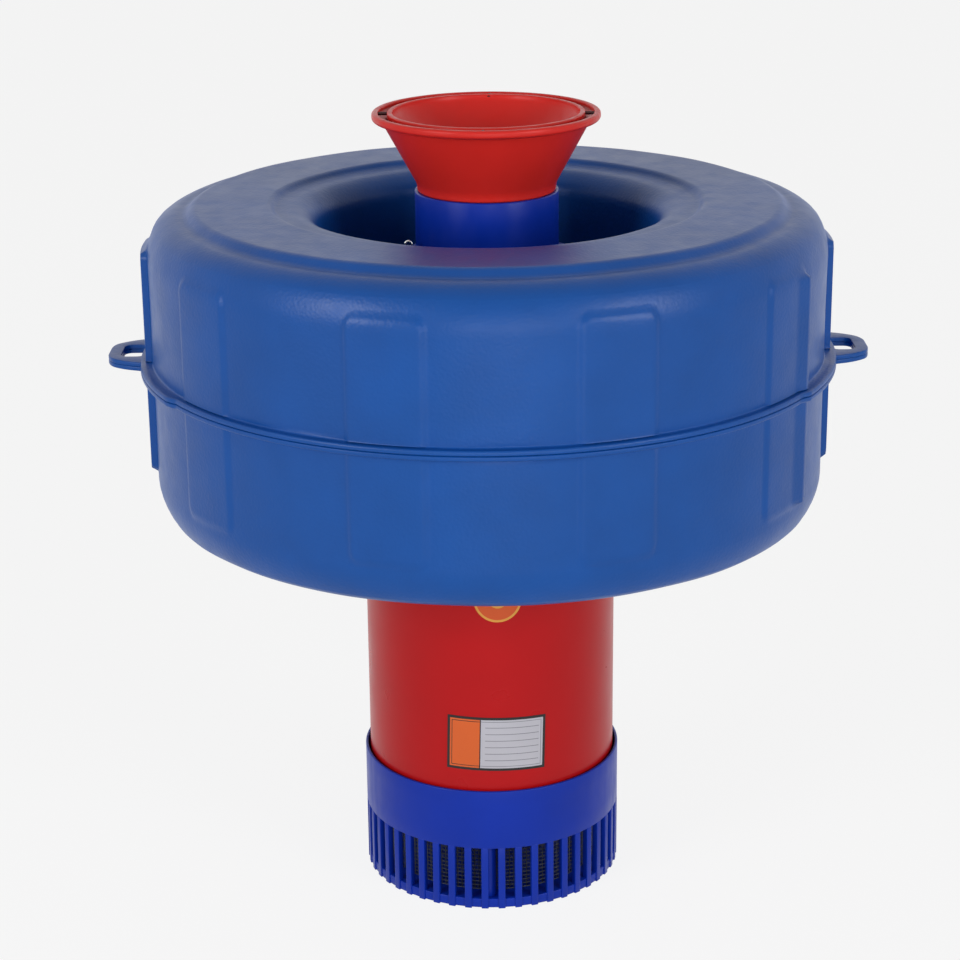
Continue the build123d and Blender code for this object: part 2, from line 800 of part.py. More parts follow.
# Discharge head: bolting flange, ribbed dome, pipe socket and cable boss
gland_place = on_circle(gland_circle_r, gland_angle)
dome_in_r = dome_base_r - dome_wall
dome_bend_r = (dome_base_r + socket_r) / 2
dome_inside = [
    (pipe_in_r, pipe_z), (pipe_in_r, dome_top_z),
    (dome_bend_r - dome_wall, head_top_z + dome_bend), (dome_in_r, head_top_z + dome_skirt),
    (dome_in_r, head_z),
]
with BuildPart() as discharge_head:
    with BuildSketch(Plane.XZ):
        Polygon(
            (head_flange_r, head_z), (head_flange_r, head_top_z), (dome_base_r, head_top_z),
            (dome_base_r, head_top_z + dome_skirt), (dome_bend_r, head_top_z + dome_bend),
            (socket_r, dome_top_z), (socket_r, socket_top_z - rim_height),
            (rim_r, socket_top_z - rim_height), (rim_r, socket_top_z),
            (pipe_r + glue_gap, socket_top_z), (pipe_r + glue_gap, pipe_z), *dome_inside,
            align=None,
        )
    revolve(axis=Axis.Z)
    with BuildSketch(radial_plane(0)):
        Polygon(
            (dome_in_r, head_top_z - rib_inset), (head_flange_r - rib_inset, head_top_z - rib_inset),
            (head_flange_r - rib_inset, head_top_z + rib_step), (socket_r + rib_thick, dome_top_z + rib_step),
            (pipe_in_r, dome_top_z + rib_step),
            align=None,
        )
    rib_blank = extrude(amount=rib_thick / 2, both=True, mode=Mode.PRIVATE)
    with PolarLocations(0, rib_count):
        add(rib_blank)
    with BuildSketch(Plane.XY.offset(head_top_z)):
        with Locations(gland_place):
            Circle(gland_boss_r)
    extrude(amount=gland_boss_rise)
    with BuildSketch(Plane.XZ):
        Polygon((0, head_z), (0, pipe_z), *dome_inside, align=None)
    revolve(axis=Axis.Z, mode=Mode.SUBTRACT)
    with BuildSketch(Plane.XY.offset(socket_top_z)):
        Circle(pipe_r + glue_gap)
    extrude(amount=pipe_z - socket_top_z, mode=Mode.SUBTRACT)
    with BuildSketch(Plane.XY.offset(head_z)):
        with PolarLocations(bolt_circle_r, bolt_count, start_angle=bolt_angle):
            Circle(bolt_hole_r)
        with PolarLocations(rod_circle_r, rod_count, start_angle=rod_angle):
            Circle(rod_r + slide_fit)
    extrude(amount=head_flange_thick, mode=Mode.SUBTRACT)
    with BuildSketch(Plane.XY.offset(head_top_z + gland_boss_rise)):
        with Locations(gland_place):
            Circle(gland_thread_r + screw_fit)
    extrude(amount=-gland_thread_length, mode=Mode.SUBTRACT)
    with BuildSketch(Plane.XY.offset(head_top_z + gland_boss_rise)):
        with Locations(gland_place):
            Circle(cable_r + slide_fit)
    extrude(amount=-gland_boss_rise - head_flange_thick, mode=Mode.SUBTRACT)
    with BuildSketch(Plane.XY.offset(socket_top_z)):
        with Locations(on_circle(eye_circle_r, eye_angle)):
            Circle(eye_wire / 2 + screw_fit)
    extrude(amount=-eye_thread, mode=Mode.SUBTRACT)
discharge_head.part.label = "discharge_head"
export_step(discharge_head.part, "parts/discharge_head.step")

# Outlet pipe
with BuildPart() as outlet_pipe:
    with BuildSketch(Plane.XY.offset(pipe_z)):
        Circle(pipe_r)
        Circle(pipe_in_r, mode=Mode.SUBTRACT)
    extrude(amount=pipe_length)
outlet_pipe.part.label = "outlet_pipe"
export_step(outlet_pipe.part, "parts/outlet_pipe.step")

# Spray horn: foot inside the pipe, flared wall and rolled lip
foot_r = pipe_in_r - glue_gap
foot_in_r = foot_r - horn_wall
foot_z = pipe_top_z - horn_foot_length
neck_z = pipe_top_z + horn_neck_height
neck_in_r = horn_step_r - horn_wall
lip_low_z = horn_top_z - horn_lip_height
spacer_z = horn_top_z - spacer_drop
with BuildPart() as spacer_bore:
    with BuildSketch(Plane.YZ.offset(spacer_in_r - spacer_r)):
        with Locations((0, spacer_z)):
            Circle(spacer_r + screw_fit)
    extrude(amount=spacer_out_r + glue_gap - spacer_in_r + spacer_r)
with BuildPart() as spray_horn:
    with BuildSketch(Plane.XZ):
        with BuildLine():
            Polyline(
                (foot_in_r, foot_z), (foot_r, foot_z), (foot_r, pipe_top_z), (horn_step_r, pipe_top_z),
                (horn_step_r, neck_z), (flare_r, lip_low_z), (horn_lip_r, lip_low_z + lip_under_rise),
                (horn_lip_r, horn_top_z - bead_round),
            )
            lip = CenterArc((horn_lip_r - bead_round, horn_top_z - bead_round), bead_round, 0, 90)
            Polyline(
                lip @ 1, (horn_mouth_r, horn_top_z), (horn_mouth_r, horn_top_z - mouth_land),
                (flare_r - horn_wall, lip_low_z), (neck_in_r, neck_z),
                (foot_in_r, pipe_top_z - horn_wall), (foot_in_r, foot_z),
            )
        make_face()
    revolve(axis=Axis.Z)
    with PolarLocations(0, spacer_count, start_angle=spacer_angle):
        add(spacer_bore.part, mode=Mode.SUBTRACT)
spray_horn.part.label = "spray_horn"
export_step(spray_horn.part, "parts/spray_horn.step")

# Inner cone: a closed bowl whose rim stands inside the horn's mouth
cone_low_z = horn_top_z - cone_depth
cone_slope_r = cone_nose_share * cone_rim_r
nose_ball_r = (cone_slope_r**2 + cone_nose_rise**2) / (2 * cone_nose_rise)
with BuildPart() as inner_cone:
    with BuildSketch(Plane.XZ):
        with BuildLine():
            rim = Polyline(
                (spacer_in_r, horn_top_z), (cone_rim_r, horn_top_z),
                (cone_rim_r, horn_top_z - cone_rim_height), (cone_slope_r, cone_low_z + cone_nose_rise),
            )
            nose = RadiusArc(rim @ 1, (0, cone_low_z), nose_ball_r)
            Line(nose @ 1, (0, cone_low_z + cone_wall))
            bowl = RadiusArc(
                (0, cone_low_z + cone_wall), (cone_slope_r, cone_low_z + cone_wall + cone_nose_rise),
                -nose_ball_r,
            )
            Polyline(
                bowl @ 1, (spacer_in_r, horn_top_z - cone_rim_height), (spacer_in_r, horn_top_z),
            )
        make_face()
    revolve(axis=Axis.Z)
    with PolarLocations(0, spacer_count, start_angle=spacer_angle):
        add(spacer_bore.part, mode=Mode.SUBTRACT)
inner_cone.part.label = "inner_cone"
export_step(inner_cone.part, "parts/inner_cone.step")

# Spacer screws: four radial screws that centre the cone in the mouth
with BuildPart() as spacer_pin:
    with BuildSketch(Plane.YZ.offset(spacer_in_r)):
        with Locations((0, spacer_z)):
            Circle(spacer_r)
    extrude(amount=spacer_out_r - spacer_in_r)
with BuildPart() as spacer_screws:
    with PolarLocations(0, spacer_count, start_angle=spacer_angle):
        add(spacer_pin.part)
spacer_screws.part.label = "spacer_screws"
export_step(spacer_screws.part, "parts/spacer_screws.step")


# Float
def upper_skin():
    """Draws the top shell's outer line on the open upright sketch and returns its last point."""
    Line((float_r, seam_z), (float_r, spring_z))
    shoulder = EllipticalCenterArc(
        (float_r - shoulder_run, spring_z), shoulder_run, shoulder_height, start_angle=0, arc_size=90
    )
    Polyline(
        shoulder @ 1, (step_r, shoulder_z), (step_r - step_run, crown_z), (crown_r, crown_z),
        (crown_r - crown_drop, crown_z - crown_drop), (lip_r, throat_z + lip_round),
    )
    throat = CenterArc((lip_r, throat_z), lip_round, 90, 90)
    return throat @ 1


def lower_skin():
    """Draws the bottom shell's outer line on the open upright sketch and returns its last point."""
    Line((float_r, seam_z), (float_r, heel_z))
    heel = EllipticalCenterArc(
        (float_r - heel_run, heel_z), heel_run, heel_height, start_angle=-90, arc_size=90
    )
    Line(heel @ 0, (bore_r + bore_round, keel_z))
    bend = CenterArc((bore_r + bore_round, keel_z + bore_round), bore_round, 180, 90)
    return bend @ 0


# Ten raised pads stand round the wall and run under the seam flange
pad_face_r = float_r + pad_rise
pad_back_r = float_r - pad_sink
pad_spread = (pad_sink + pad_rise) * tan(radians(pad_slope))
pad_width = 2 * (float_r * sin(radians(pad_arc / 2)) + pad_spread) - pad_side_trim
pad_height = pad_low + pad_high + 2 * pad_spread - pad_end_trim
with BuildPart() as pad_window:
    with BuildSketch(Plane.YZ.offset(pad_back_r)):
        with Locations((0, seam_z + (pad_high - pad_low) / 2)):
            RectangleRounded(pad_width, pad_height, pad_round + pad_spread)
    extrude(amount=pad_sink + pad_rise + pad_over, taper=pad_slope)
with BuildPart() as upper_pad:
    with BuildSketch(radial_plane(-pad_arc)):
        Polygon(
            (pad_back_r, seam_z), (pad_face_r, seam_z), (pad_face_r, seam_z + pad_high - pad_cap),
            (pad_back_r, seam_z + pad_high + pad_cap),
            align=None,
        )
    revolve(axis=Axis.Z, revolution_arc=2 * pad_arc)
    add(pad_window.part, mode=Mode.INTERSECT)
with BuildPart() as lower_pad:
    with BuildSketch(radial_plane(-pad_arc)):
        ring_face(pad_back_r, pad_face_r, seam_z - pad_low - pad_cap, seam_z)
    revolve(axis=Axis.Z, revolution_arc=2 * pad_arc)
    add(pad_window.part, mode=Mode.INTERSECT)

# Mooring lug: one layer of the plate on each shell, drawn flat on the seam
lug_root_x = float_r - float_wall / 2
lug_mid_x = float_r + lug_mid_reach
lug_tip_x = float_r + lug_reach
with BuildSketch(Plane.XY.offset(seam_z)) as lug_plan:
    Polygon(
        (lug_root_x, -lug_root_half), (lug_mid_x, -lug_mid_half), (lug_tip_x, -lug_tip_half),
        (lug_tip_x, lug_tip_half), (lug_mid_x, lug_mid_half), (lug_root_x, lug_root_half),
        align=None,
    )
    fillet(lug_plan.vertices().group_by(Axis.X)[-1], lug_half)
with BuildPart() as upper_lug:
    extrude(lug_plan.sketch, amount=lug_half)
with BuildPart() as lower_lug:
    extrude(lug_plan.sketch, amount=-lug_half)
with BuildPart() as lug_hole:
    with BuildSketch(Plane.XY.offset(seam_z - 2 * flange_half)):
        with Locations((lug_tip_x - lug_bar - lug_slot_width / 2, 0)):
            RectangleRounded(lug_slot_width, lug_slot_length, lug_slot_round)
    extrude(amount=4 * flange_half)

# Top shell of the float
well_back_r = well_r + float_wall
hollow_r = float_r - float_wall
with BuildPart() as float_upper_shell:
    with BuildSketch(Plane.XZ):
        with BuildLine():
            throat = upper_skin()
            Polyline(
                throat, (well_r, head_z), (bore_r, head_z), (bore_r, head_z - ledge_plate),
                (well_back_r, head_z - ledge_plate), (well_back_r, seam_z), (float_r, seam_z),
            )
        make_face()
        ring_face(hollow_r, float_r + flange_proud, seam_z, seam_z + flange_half)
    revolve(axis=Axis.Z)
    for side in (0, 180):
        with BuildSketch(radial_plane(side - wide_arc / 2)):
            ring_face(hollow_r, float_r + wide_proud, seam_z, seam_z + flange_half)
        revolve(axis=Axis.Z, revolution_arc=wide_arc)
    with PolarLocations(0, 2):
        add(upper_lug.part)
    with PolarLocations(0, pad_count, start_angle=pad_angle):
        add(upper_pad.part)
    with PolarLocations(0, 2):
        add(lug_hole.part, mode=Mode.SUBTRACT)
    with BuildSketch(Plane.XZ):
        Polygon(
            (hollow_r, seam_z - flange_half), (hollow_r, spring_z),
            (float_r - haunch_wall, spring_z + shoulder_rise),
            (float_r - shoulder_run, shoulder_z - float_wall), (step_r - float_wall / 2, shoulder_z - float_wall),
            (step_r - step_run - float_wall / 2, crown_z - float_wall),
            (crown_r + float_wall / 2, crown_z - float_wall), (lip_r, throat_z + lip_round - float_wall),
            (well_back_r, throat_z), (well_back_r, seam_z - flange_half),
            align=None,
        )
    revolve(axis=Axis.Z, mode=Mode.SUBTRACT)
    with BuildSketch(Plane.XY.offset(head_z)):
        with PolarLocations(bolt_circle_r, bolt_count, start_angle=bolt_angle):
            Circle(bolt_hole_r)
    extrude(amount=-ledge_plate, mode=Mode.SUBTRACT)
float_upper_shell.part.label = "float_upper_shell"
export_step(float_upper_shell.part, "parts/float_upper_shell.step")

# Bottom shell of the float
low_ledge_z = head_z - ledge_plate
sleeve_wall_r = well_back_r + float_wall
with BuildPart() as float_lower_shell:
    with BuildSketch(Plane.XZ):
        with BuildLine():
            bend = lower_skin()
            Polyline(
                bend, (bore_r, low_ledge_z), (sleeve_wall_r, low_ledge_z), (sleeve_wall_r, seam_z),
                (float_r, seam_z),
            )
        make_face()
        ring_face(hollow_r, float_r + flange_proud, seam_z - flange_half, seam_z)
    revolve(axis=Axis.Z)
    for side in (0, 180):
        with BuildSketch(radial_plane(side - wide_arc / 2)):
            ring_face(hollow_r, float_r + wide_proud, seam_z - flange_half, seam_z)
        revolve(axis=Axis.Z, revolution_arc=wide_arc)
    with PolarLocations(0, 2):
        add(lower_lug.part)
    with PolarLocations(0, pad_count, start_angle=pad_angle):
        add(lower_pad.part)
    with PolarLocations(0, 2):
        add(lug_hole.part, mode=Mode.SUBTRACT)
    with BuildSketch(Plane.XZ):
        Polygon(
            (hollow_r, seam_z + flange_half), (hollow_r, heel_z), (float_r - haunch_wall, heel_z - heel_fall),
            (float_r - heel_run, keel_z + float_wall), (bore_r + bore_round, keel_z + float_wall),
            (bore_r + float_wall, keel_z + bore_round), (bore_r + float_wall, float_ledge_z),
            (sleeve_wall_r, float_ledge_z), (sleeve_wall_r, seam_z + flange_half),
            align=None,
        )
    revolve(axis=Axis.Z, mode=Mode.SUBTRACT)
    with BuildSketch(Plane.XY.offset(low_ledge_z)):
        with PolarLocations(bolt_circle_r, bolt_count, start_angle=bolt_angle):
            Circle(bolt_hole_r)
    extrude(amount=-ledge_plate, mode=Mode.SUBTRACT)
float_lower_shell.part.label = "float_lower_shell"
export_step(float_lower_shell.part, "parts/float_lower_shell.step")

# Bolts and nuts that clamp the head to both float ledges
bolt_low_z = float_ledge_z - bolt_nut_height - bolt_stub
with BuildPart() as float_mount_bolts:
    with BuildSketch(Plane.XY.offset(head_top_z)):
        with PolarLocations(bolt_circle_r, bolt_count, start_angle=bolt_angle):
            RegularPolygon(bolt_head_across / 2, 6, major_radius=False)
    extrude(amount=bolt_head_height)
    with BuildSketch(Plane.XY.offset(bolt_low_z)):
        with PolarLocations(bolt_circle_r, bolt_count, start_angle=bolt_angle):
            Circle(bolt_r)
    extrude(amount=head_top_z - bolt_low_z)
float_mount_bolts.part.label = "float_mount_bolts"
export_step(float_mount_bolts.part, "parts/float_mount_bolts.step")

with BuildPart() as float_mount_nuts:
    with BuildSketch(Plane.XY.offset(float_ledge_z - bolt_nut_height)):
        with PolarLocations(bolt_circle_r, bolt_count, start_angle=bolt_angle):
            RegularPolygon(bolt_head_across / 2, 6, major_radius=False)
            Circle(bolt_r + screw_fit, mode=Mode.SUBTRACT)
    extrude(amount=bolt_nut_height)
float_mount_nuts.part.label = "float_mount_nuts"
export_step(float_mount_nuts.part, "parts/float_mount_nuts.step")

# Cable gland: body in the head's boss, rubber seal and clamping nut
gland_z = head_top_z + gland_boss_rise
gland_nut_z = gland_z + gland_hex_height
with BuildPart() as gland_body:
    with BuildSketch(Plane.XY.offset(gland_z)):
        with Locations(gland_place):
            RegularPolygon(gland_across / 2, 6, major_radius=False)
            Circle(cable_r + slide_fit, mode=Mode.SUBTRACT)
    extrude(amount=gland_hex_height)
    with BuildSketch(Plane.XY.offset(gland_z - gland_thread_length)):
        with Locations(gland_place):
            Circle(gland_thread_r)
            Circle(cable_r + slide_fit, mode=Mode.SUBTRACT)
    extrude(amount=gland_thread_length)
gland_body.part.label = "gland_body"
export_step(gland_body.part, "parts/gland_body.step")

with BuildPart() as gland_seal:
    with BuildSketch(Plane.XY.offset(gland_nut_z)):
        with Locations(gland_place):
            Circle(gland_seal_r)
            Circle(cable_r, mode=Mode.SUBTRACT)
    extrude(amount=gland_seal_length)
gland_seal.part.label = "gland_seal"
export_step(gland_seal.part, "parts/gland_seal.step")

with BuildPart() as gland_nut:
    with BuildSketch(Plane.XY.offset(gland_nut_z)):
        with Locations(gland_place):
            RegularPolygon(gland_nut_across / 2, 6, major_radius=False)
            Circle(gland_seal_r + screw_fit, mode=Mode.SUBTRACT)
    extrude(amount=gland_seal_length)
    with BuildSketch(Plane.XY.offset(gland_nut_z + gland_seal_length)):
        with Locations(gland_place):
            Circle(gland_nut_across / 2 - gland_nut_step)
            Circle(cable_r + slide_fit, mode=Mode.SUBTRACT)
    extrude(amount=gland_nut_height - gland_seal_length)
gland_nut.part.label = "gland_nut"
export_step(gland_nut.part, "parts/gland_nut.step")

# Screw eye on the rim of the head's socket
eye_place = on_circle(eye_circle_r, eye_angle)
eye_mid_z = socket_top_z + eye_stem_height + eye_loop_r - eye_wire
with BuildPart() as cable_eye:
    with BuildSketch(Plane.XY.offset(socket_top_z - eye_thread)):
        with Locations(eye_place):
            Circle(eye_wire / 2)
    extrude(amount=eye_thread + eye_stem_height)
    with BuildSketch(Plane.XZ.offset(-eye_place[1] - eye_wire / 2)):
        with Locations((eye_place[0], eye_mid_z)):
            Circle(eye_loop_r)
            Circle(eye_loop_r - eye_wire, mode=Mode.SUBTRACT)
    extrude(amount=eye_wire)
cable_eye.part.label = "cable_eye"
export_step(cable_eye.part, "parts/cable_eye.step")
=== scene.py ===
"""Looks of a floating pond aerator: ring float, pump tube, strainer and spray horn.

Metres, +Z up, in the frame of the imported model. Profiles are written in millimetres, as on a
maker's drawing, and turned about the pump's axis.
"""

import json
import logging
import math
from collections.abc import Sequence
from dataclasses import dataclass, field
from enum import Enum

import bmesh
import bpy
from mathutils import Matrix, Vector, noise

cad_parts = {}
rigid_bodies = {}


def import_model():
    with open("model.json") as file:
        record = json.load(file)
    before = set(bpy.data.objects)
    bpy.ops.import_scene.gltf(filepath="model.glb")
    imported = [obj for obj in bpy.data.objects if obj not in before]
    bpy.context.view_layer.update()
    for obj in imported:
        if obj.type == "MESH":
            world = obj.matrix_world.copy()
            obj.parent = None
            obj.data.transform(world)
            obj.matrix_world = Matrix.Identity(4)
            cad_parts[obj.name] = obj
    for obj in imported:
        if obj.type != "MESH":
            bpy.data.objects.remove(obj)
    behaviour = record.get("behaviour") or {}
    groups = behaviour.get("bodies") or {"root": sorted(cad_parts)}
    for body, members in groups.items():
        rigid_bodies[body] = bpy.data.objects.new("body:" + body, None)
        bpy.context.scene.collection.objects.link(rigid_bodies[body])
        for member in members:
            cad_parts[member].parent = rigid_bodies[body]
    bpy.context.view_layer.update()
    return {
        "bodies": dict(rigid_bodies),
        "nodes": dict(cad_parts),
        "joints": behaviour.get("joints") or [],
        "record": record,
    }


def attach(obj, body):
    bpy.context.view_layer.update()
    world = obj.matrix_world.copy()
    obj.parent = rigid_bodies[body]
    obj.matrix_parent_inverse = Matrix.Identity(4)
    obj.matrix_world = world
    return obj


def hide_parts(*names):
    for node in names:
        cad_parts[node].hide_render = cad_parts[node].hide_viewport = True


MM = 0.001
TURN = 2 * math.pi
# Distances in metres within which points merge: turned shapes, CAD copies, printed sheets.
WELD = 1e-6
CAD_WELD = 2e-6
SHEET_WELD = 1e-7
# Values between which most of a noise texture lies.
NOISE_LOW = 0.3
NOISE_HIGH = 0.7
# Distance between the crests of a wave texture at a scale of 1.
WAVE_PERIOD = 0.314
LOG = logging.getLogger("aerator")

Colour = tuple[float, float, float]
Corner = tuple[float, float, float]
Spot = tuple[float, float, float]


class Slot(Enum):
    """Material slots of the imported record."""

    FLOAT_BLUE = "float_blue"
    TUBE_RED = "tube_red"
    HORN_RED = "horn_red"
    ROYAL_BLUE = "royal_blue"
    STAINLESS = "stainless"
    SHAFT_STEEL = "shaft_steel"
    CAST_GREY = "cast_grey"
    CAN_STEEL = "can_steel"
    COPPER = "copper"
    BLACK_RUBBER = "black_rubber"
    BLACK_NYLON = "black_nylon"
    CARBON = "carbon"
    CERAMIC = "ceramic"


class Field(Enum):
    """Printed fields of the plate and the round sticker."""

    FRAME = "plate_frame"
    AMBER = "plate_amber"
    PALE = "plate_pale"
    RULE = "plate_rule"
    RING = "sticker_ring"
    DISC = "sticker_disc"


class Tree:
    """Node tree of one material, read on Object coordinates."""

    def __init__(self, name: str) -> None:
        """Opens a new material.

        Args:
            name: Name of the material.
        """
        self.material = bpy.data.materials.new(name)
        self.material.use_nodes = True
        self.nodes = self.material.node_tree.nodes
        self.links = self.material.node_tree.links
        self.shader = self.nodes["Principled BSDF"]
        self.place = self.nodes.new("ShaderNodeTexCoord").outputs["Object"]

    def fixed(self, **values: float) -> None:
        """Sets numbers that are the same all over on the shader's own sockets.

        Args:
            values: Socket names in lower case with underscores, and their numbers.
        """
        for name, value in values.items():
            self.shader.inputs[name.replace("_", " ").title().replace("Ior", "IOR")].default_value = value

    def stretched(self, scale: Spot) -> bpy.types.NodeSocket:
        """Returns Object coordinates scaled along each axis.

        Args:
            scale: Factor along X, Y and Z.

        Returns:
            The coordinate socket.
        """
        mapping = self.nodes.new("ShaderNodeMapping")
        mapping.inputs["Scale"].default_value = scale
        self.links.new(self.place, mapping.inputs["Vector"])
        return mapping.outputs["Vector"]

    def noise(self, size: float, detail: float = 4.0, stretch: Spot = (1, 1, 1)) -> bpy.types.NodeSocket:
        """Returns a noise value.

        Args:
            size: Size of the pattern in millimetres.
            detail: Octaves of finer noise.
            stretch: Factor on the coordinates along each axis.

        Returns:
            The factor socket.
        """
        node = self.nodes.new("ShaderNodeTexNoise")
        node.inputs["Scale"].default_value = 1 / (size * MM)
        node.inputs["Detail"].default_value = detail
        self.links.new(self.stretched(stretch), node.inputs["Vector"])
        return node.outputs["Fac"]

    def cells(self, size: float) -> bpy.types.NodeSocket:
        """Returns the distance value of rounded cells.

        Args:
            size: Size of a cell in millimetres.

        Returns:
            The distance socket.
        """
        node = self.nodes.new("ShaderNodeTexVoronoi")
        node.feature = "SMOOTH_F1"
        node.inputs["Scale"].default_value = 1 / (size * MM)
        self.links.new(self.place, node.inputs["Vector"])
        return node.outputs["Distance"]

    def bands(self, pitch: float, axis: str = "Z") -> bpy.types.NodeSocket:
        """Returns a wave value with one crest per pitch.

        Args:
            pitch: Distance between crests in millimetres.
            axis: Axis along which the bands follow each other.

        Returns:
            The factor socket.
        """
        node = self.nodes.new("ShaderNodeTexWave")
        node.bands_direction = axis
        node.inputs["Scale"].default_value = WAVE_PERIOD / (pitch * MM)
        node.inputs["Distortion"].default_value = 0.4
        self.links.new(self.place, node.inputs["Vector"])
        return node.outputs["Fac"]

    def spread(self, value: bpy.types.NodeSocket, low: float, high: float) -> bpy.types.NodeSocket:
        """Returns a value that runs from low to high where noise runs from its common low to high.

        Args:
            value: Noise value.
            low: Result at the common low of noise.
            high: Result at its common high.

        Returns:
            The result socket.
        """
        node = self.nodes.new("ShaderNodeMapRange")
        node.inputs["From Min"].default_value = NOISE_LOW
        node.inputs["From Max"].default_value = NOISE_HIGH
        node.inputs["To Min"].default_value = low
        node.inputs["To Max"].default_value = high
        self.links.new(value, node.inputs["Value"])
        return node.outputs["Result"]

    def blend(self, value: bpy.types.NodeSocket, first: Colour, second: Colour) -> bpy.types.NodeSocket:
        """Returns a colour that runs from first to second with a noise value.

        Args:
            value: Noise value.
            first: Colour at the low end.
            second: Colour at the high end.

        Returns:
            The colour socket.
        """
        node = self.nodes.new("ShaderNodeValToRGB")
        node.color_ramp.elements[0].position = NOISE_LOW
        node.color_ramp.elements[0].color = (*first, 1)
        node.color_ramp.elements[1].position = NOISE_HIGH
        node.color_ramp.elements[1].color = (*second, 1)
        self.links.new(value, node.inputs["Fac"])
        return node.outputs["Color"]

    def relief(self, *layers: tuple[bpy.types.NodeSocket, float]) -> None:
        """Gives the shader a bump made of layers.

        Args:
            layers: Pairs of a height value and its depth in millimetres.
        """
        normal = None
        for height, depth in layers:
            node = self.nodes.new("ShaderNodeBump")
            node.inputs["Distance"].default_value = depth * MM
            node.inputs["Strength"].default_value = 1.0
            self.links.new(height, node.inputs["Height"])
            if normal is not None:
                self.links.new(normal, node.inputs["Normal"])
            normal = node.outputs["Normal"]
        self.links.new(normal, self.shader.inputs["Normal"])

    def drive(self, name: str, value: bpy.types.NodeSocket) -> None:
        """Links a value to one of the shader's sockets."""
        self.links.new(value, self.shader.inputs[name])


def shade(colour: Colour, factor: float) -> Colour:
    """Returns a colour made lighter or darker by a factor."""
    return tuple(min(channel * factor, 1.0) for channel in colour)


@dataclass(frozen=True)
class Finish:
    """One surface finish."""

    name: str
    colour: Colour
    roughness: float = 0.4
    variation: float = 0.08

    def build(self) -> bpy.types.Material:
        """Builds the material of this finish.

        Returns:
            The material.
        """
        tree = Tree(self.name)
        cloud = tree.noise(60, 3)
        tree.drive("Base Color", tree.blend(
            cloud, shade(self.colour, 1 - self.variation), shade(self.colour, 1 + self.variation)
        ))
        self.dress(tree)
        return tree.material

    def dress(self, tree: Tree) -> None:
        """Adds the roughness and relief of the finish to its tree."""
        self.patchy(tree, tree.noise(25), 0.05, 0.05)

    def patchy(self, tree: Tree, value: bpy.types.NodeSocket, below: float, above: float) -> None:
        """Lets the roughness wander round its middle.

        Args:
            tree: Node tree of the material.
            value: Noise value that steers it.
            below: How far it falls below the middle.
            above: How far it rises above the middle.
        """
        tree.drive("Roughness", tree.spread(value, self.roughness - below, self.roughness + above))


@dataclass(frozen=True)
class GrainedPlastic(Finish):
    """Blow-moulded plastic with a fine leather grain."""

    grain: float = 2.6
    depth: float = 0.16
    specular: float = 0.28

    def dress(self, tree: Tree) -> None:
        """Adds leather grain, soft waves and satin patches.

        Args:
            tree: Node tree of the material.
        """
        tree.fixed(specular_ior_level=self.specular)
        self.patchy(tree, tree.noise(18), 0.03, 0.04)
        tree.relief((tree.noise(70, 2), 0.35), (tree.cells(self.grain), self.depth), (tree.noise(0.9), 0.02))


@dataclass(frozen=True)
class GlossPlastic(Finish):
    """Injection-moulded plastic with a satin gloss and faint rub marks."""

    peel: float = 0.03
    specular: float = 0.22

    def dress(self, tree: Tree) -> None:
        """Adds rubbed patches and a faint unevenness.

        Args:
            tree: Node tree of the material.
        """
        tree.fixed(specular_ior_level=self.specular)
        self.patchy(tree, tree.noise(9, 6, (1, 1, 0.35)), 0.06, 0.08)
        tree.relief((tree.noise(35, 2), 0.35), (tree.noise(1.2, 3), self.peel))


@dataclass(frozen=True)
class Enamel(Finish):
    """Sprayed enamel on a steel tube, satin with fine orange peel."""

    specular: float = 0.2

    def dress(self, tree: Tree) -> None:
        """Adds orange peel and the slow waves of a rolled tube.

        Args:
            tree: Node tree of the material.
        """
        tree.fixed(specular_ior_level=self.specular)
        self.patchy(tree, tree.noise(40, 3), 0.03, 0.04)
        tree.relief((tree.noise(120, 2), 0.6), (tree.noise(2.2, 2), 0.015))


@dataclass(frozen=True)
class Steel(Finish):
    """Bare metal with fine turning or drawing marks."""

    marks: Spot = (1.0, 1.0, 12.0)

    def dress(self, tree: Tree) -> None:
        """Adds the marks of the tool and small stains.

        Args:
            tree: Node tree of the material.
        """
        tree.fixed(metallic=1.0)
        marks = tree.noise(4, 6, self.marks)
        self.patchy(tree, marks, 0.08, 0.1)
        tree.relief((marks, 0.02))


@dataclass(frozen=True)
class Casting(Finish):
    """Painted grey casting with sand texture."""

    def dress(self, tree: Tree) -> None:
        """Adds the pitted skin of a sand casting.

        Args:
            tree: Node tree of the material.
        """
        tree.fixed(ior=1.45)
        self.patchy(tree, tree.noise(6), 0.08, 0.1)
        tree.relief((tree.noise(1.8, 6), 0.18), (tree.cells(3.5), 0.06))


@dataclass(frozen=True)
class Laminated(Steel):
    """Stacked electrical sheets seen from the side."""

    def dress(self, tree: Tree) -> None:
        """Adds the fine lines between the sheets.

        Args:
            tree: Node tree of the material.
        """
        tree.fixed(metallic=1.0)
        lines = tree.bands(1.0)
        self.patchy(tree, lines, 0.0, 0.2)
        tree.relief((lines, 0.04))


@dataclass(frozen=True)
class Wound(Finish):
    """Varnished copper wire laid side by side."""

    def dress(self, tree: Tree) -> None:
        """Adds the rounded turns of wire.

        Args:
            tree: Node tree of the material.
        """
        tree.fixed(metallic=0.8, coat_weight=0.5)
        turns = tree.bands(0.9, "X")
        self.patchy(tree, tree.noise(5), 0.08, 0.1)
        tree.relief((turns, 0.25))


@dataclass(frozen=True)
class Print(Finish):
    """Printed film with a satin face."""

    def dress(self, tree: Tree) -> None:
        """Adds the faint orange peel of a laminated film.

        Args:
            tree: Node tree of the material.
        """
        tree.fixed(ior=1.45)
        self.patchy(tree, tree.noise(4), 0.04, 0.05)
        tree.relief((tree.noise(3, 2), 0.015))


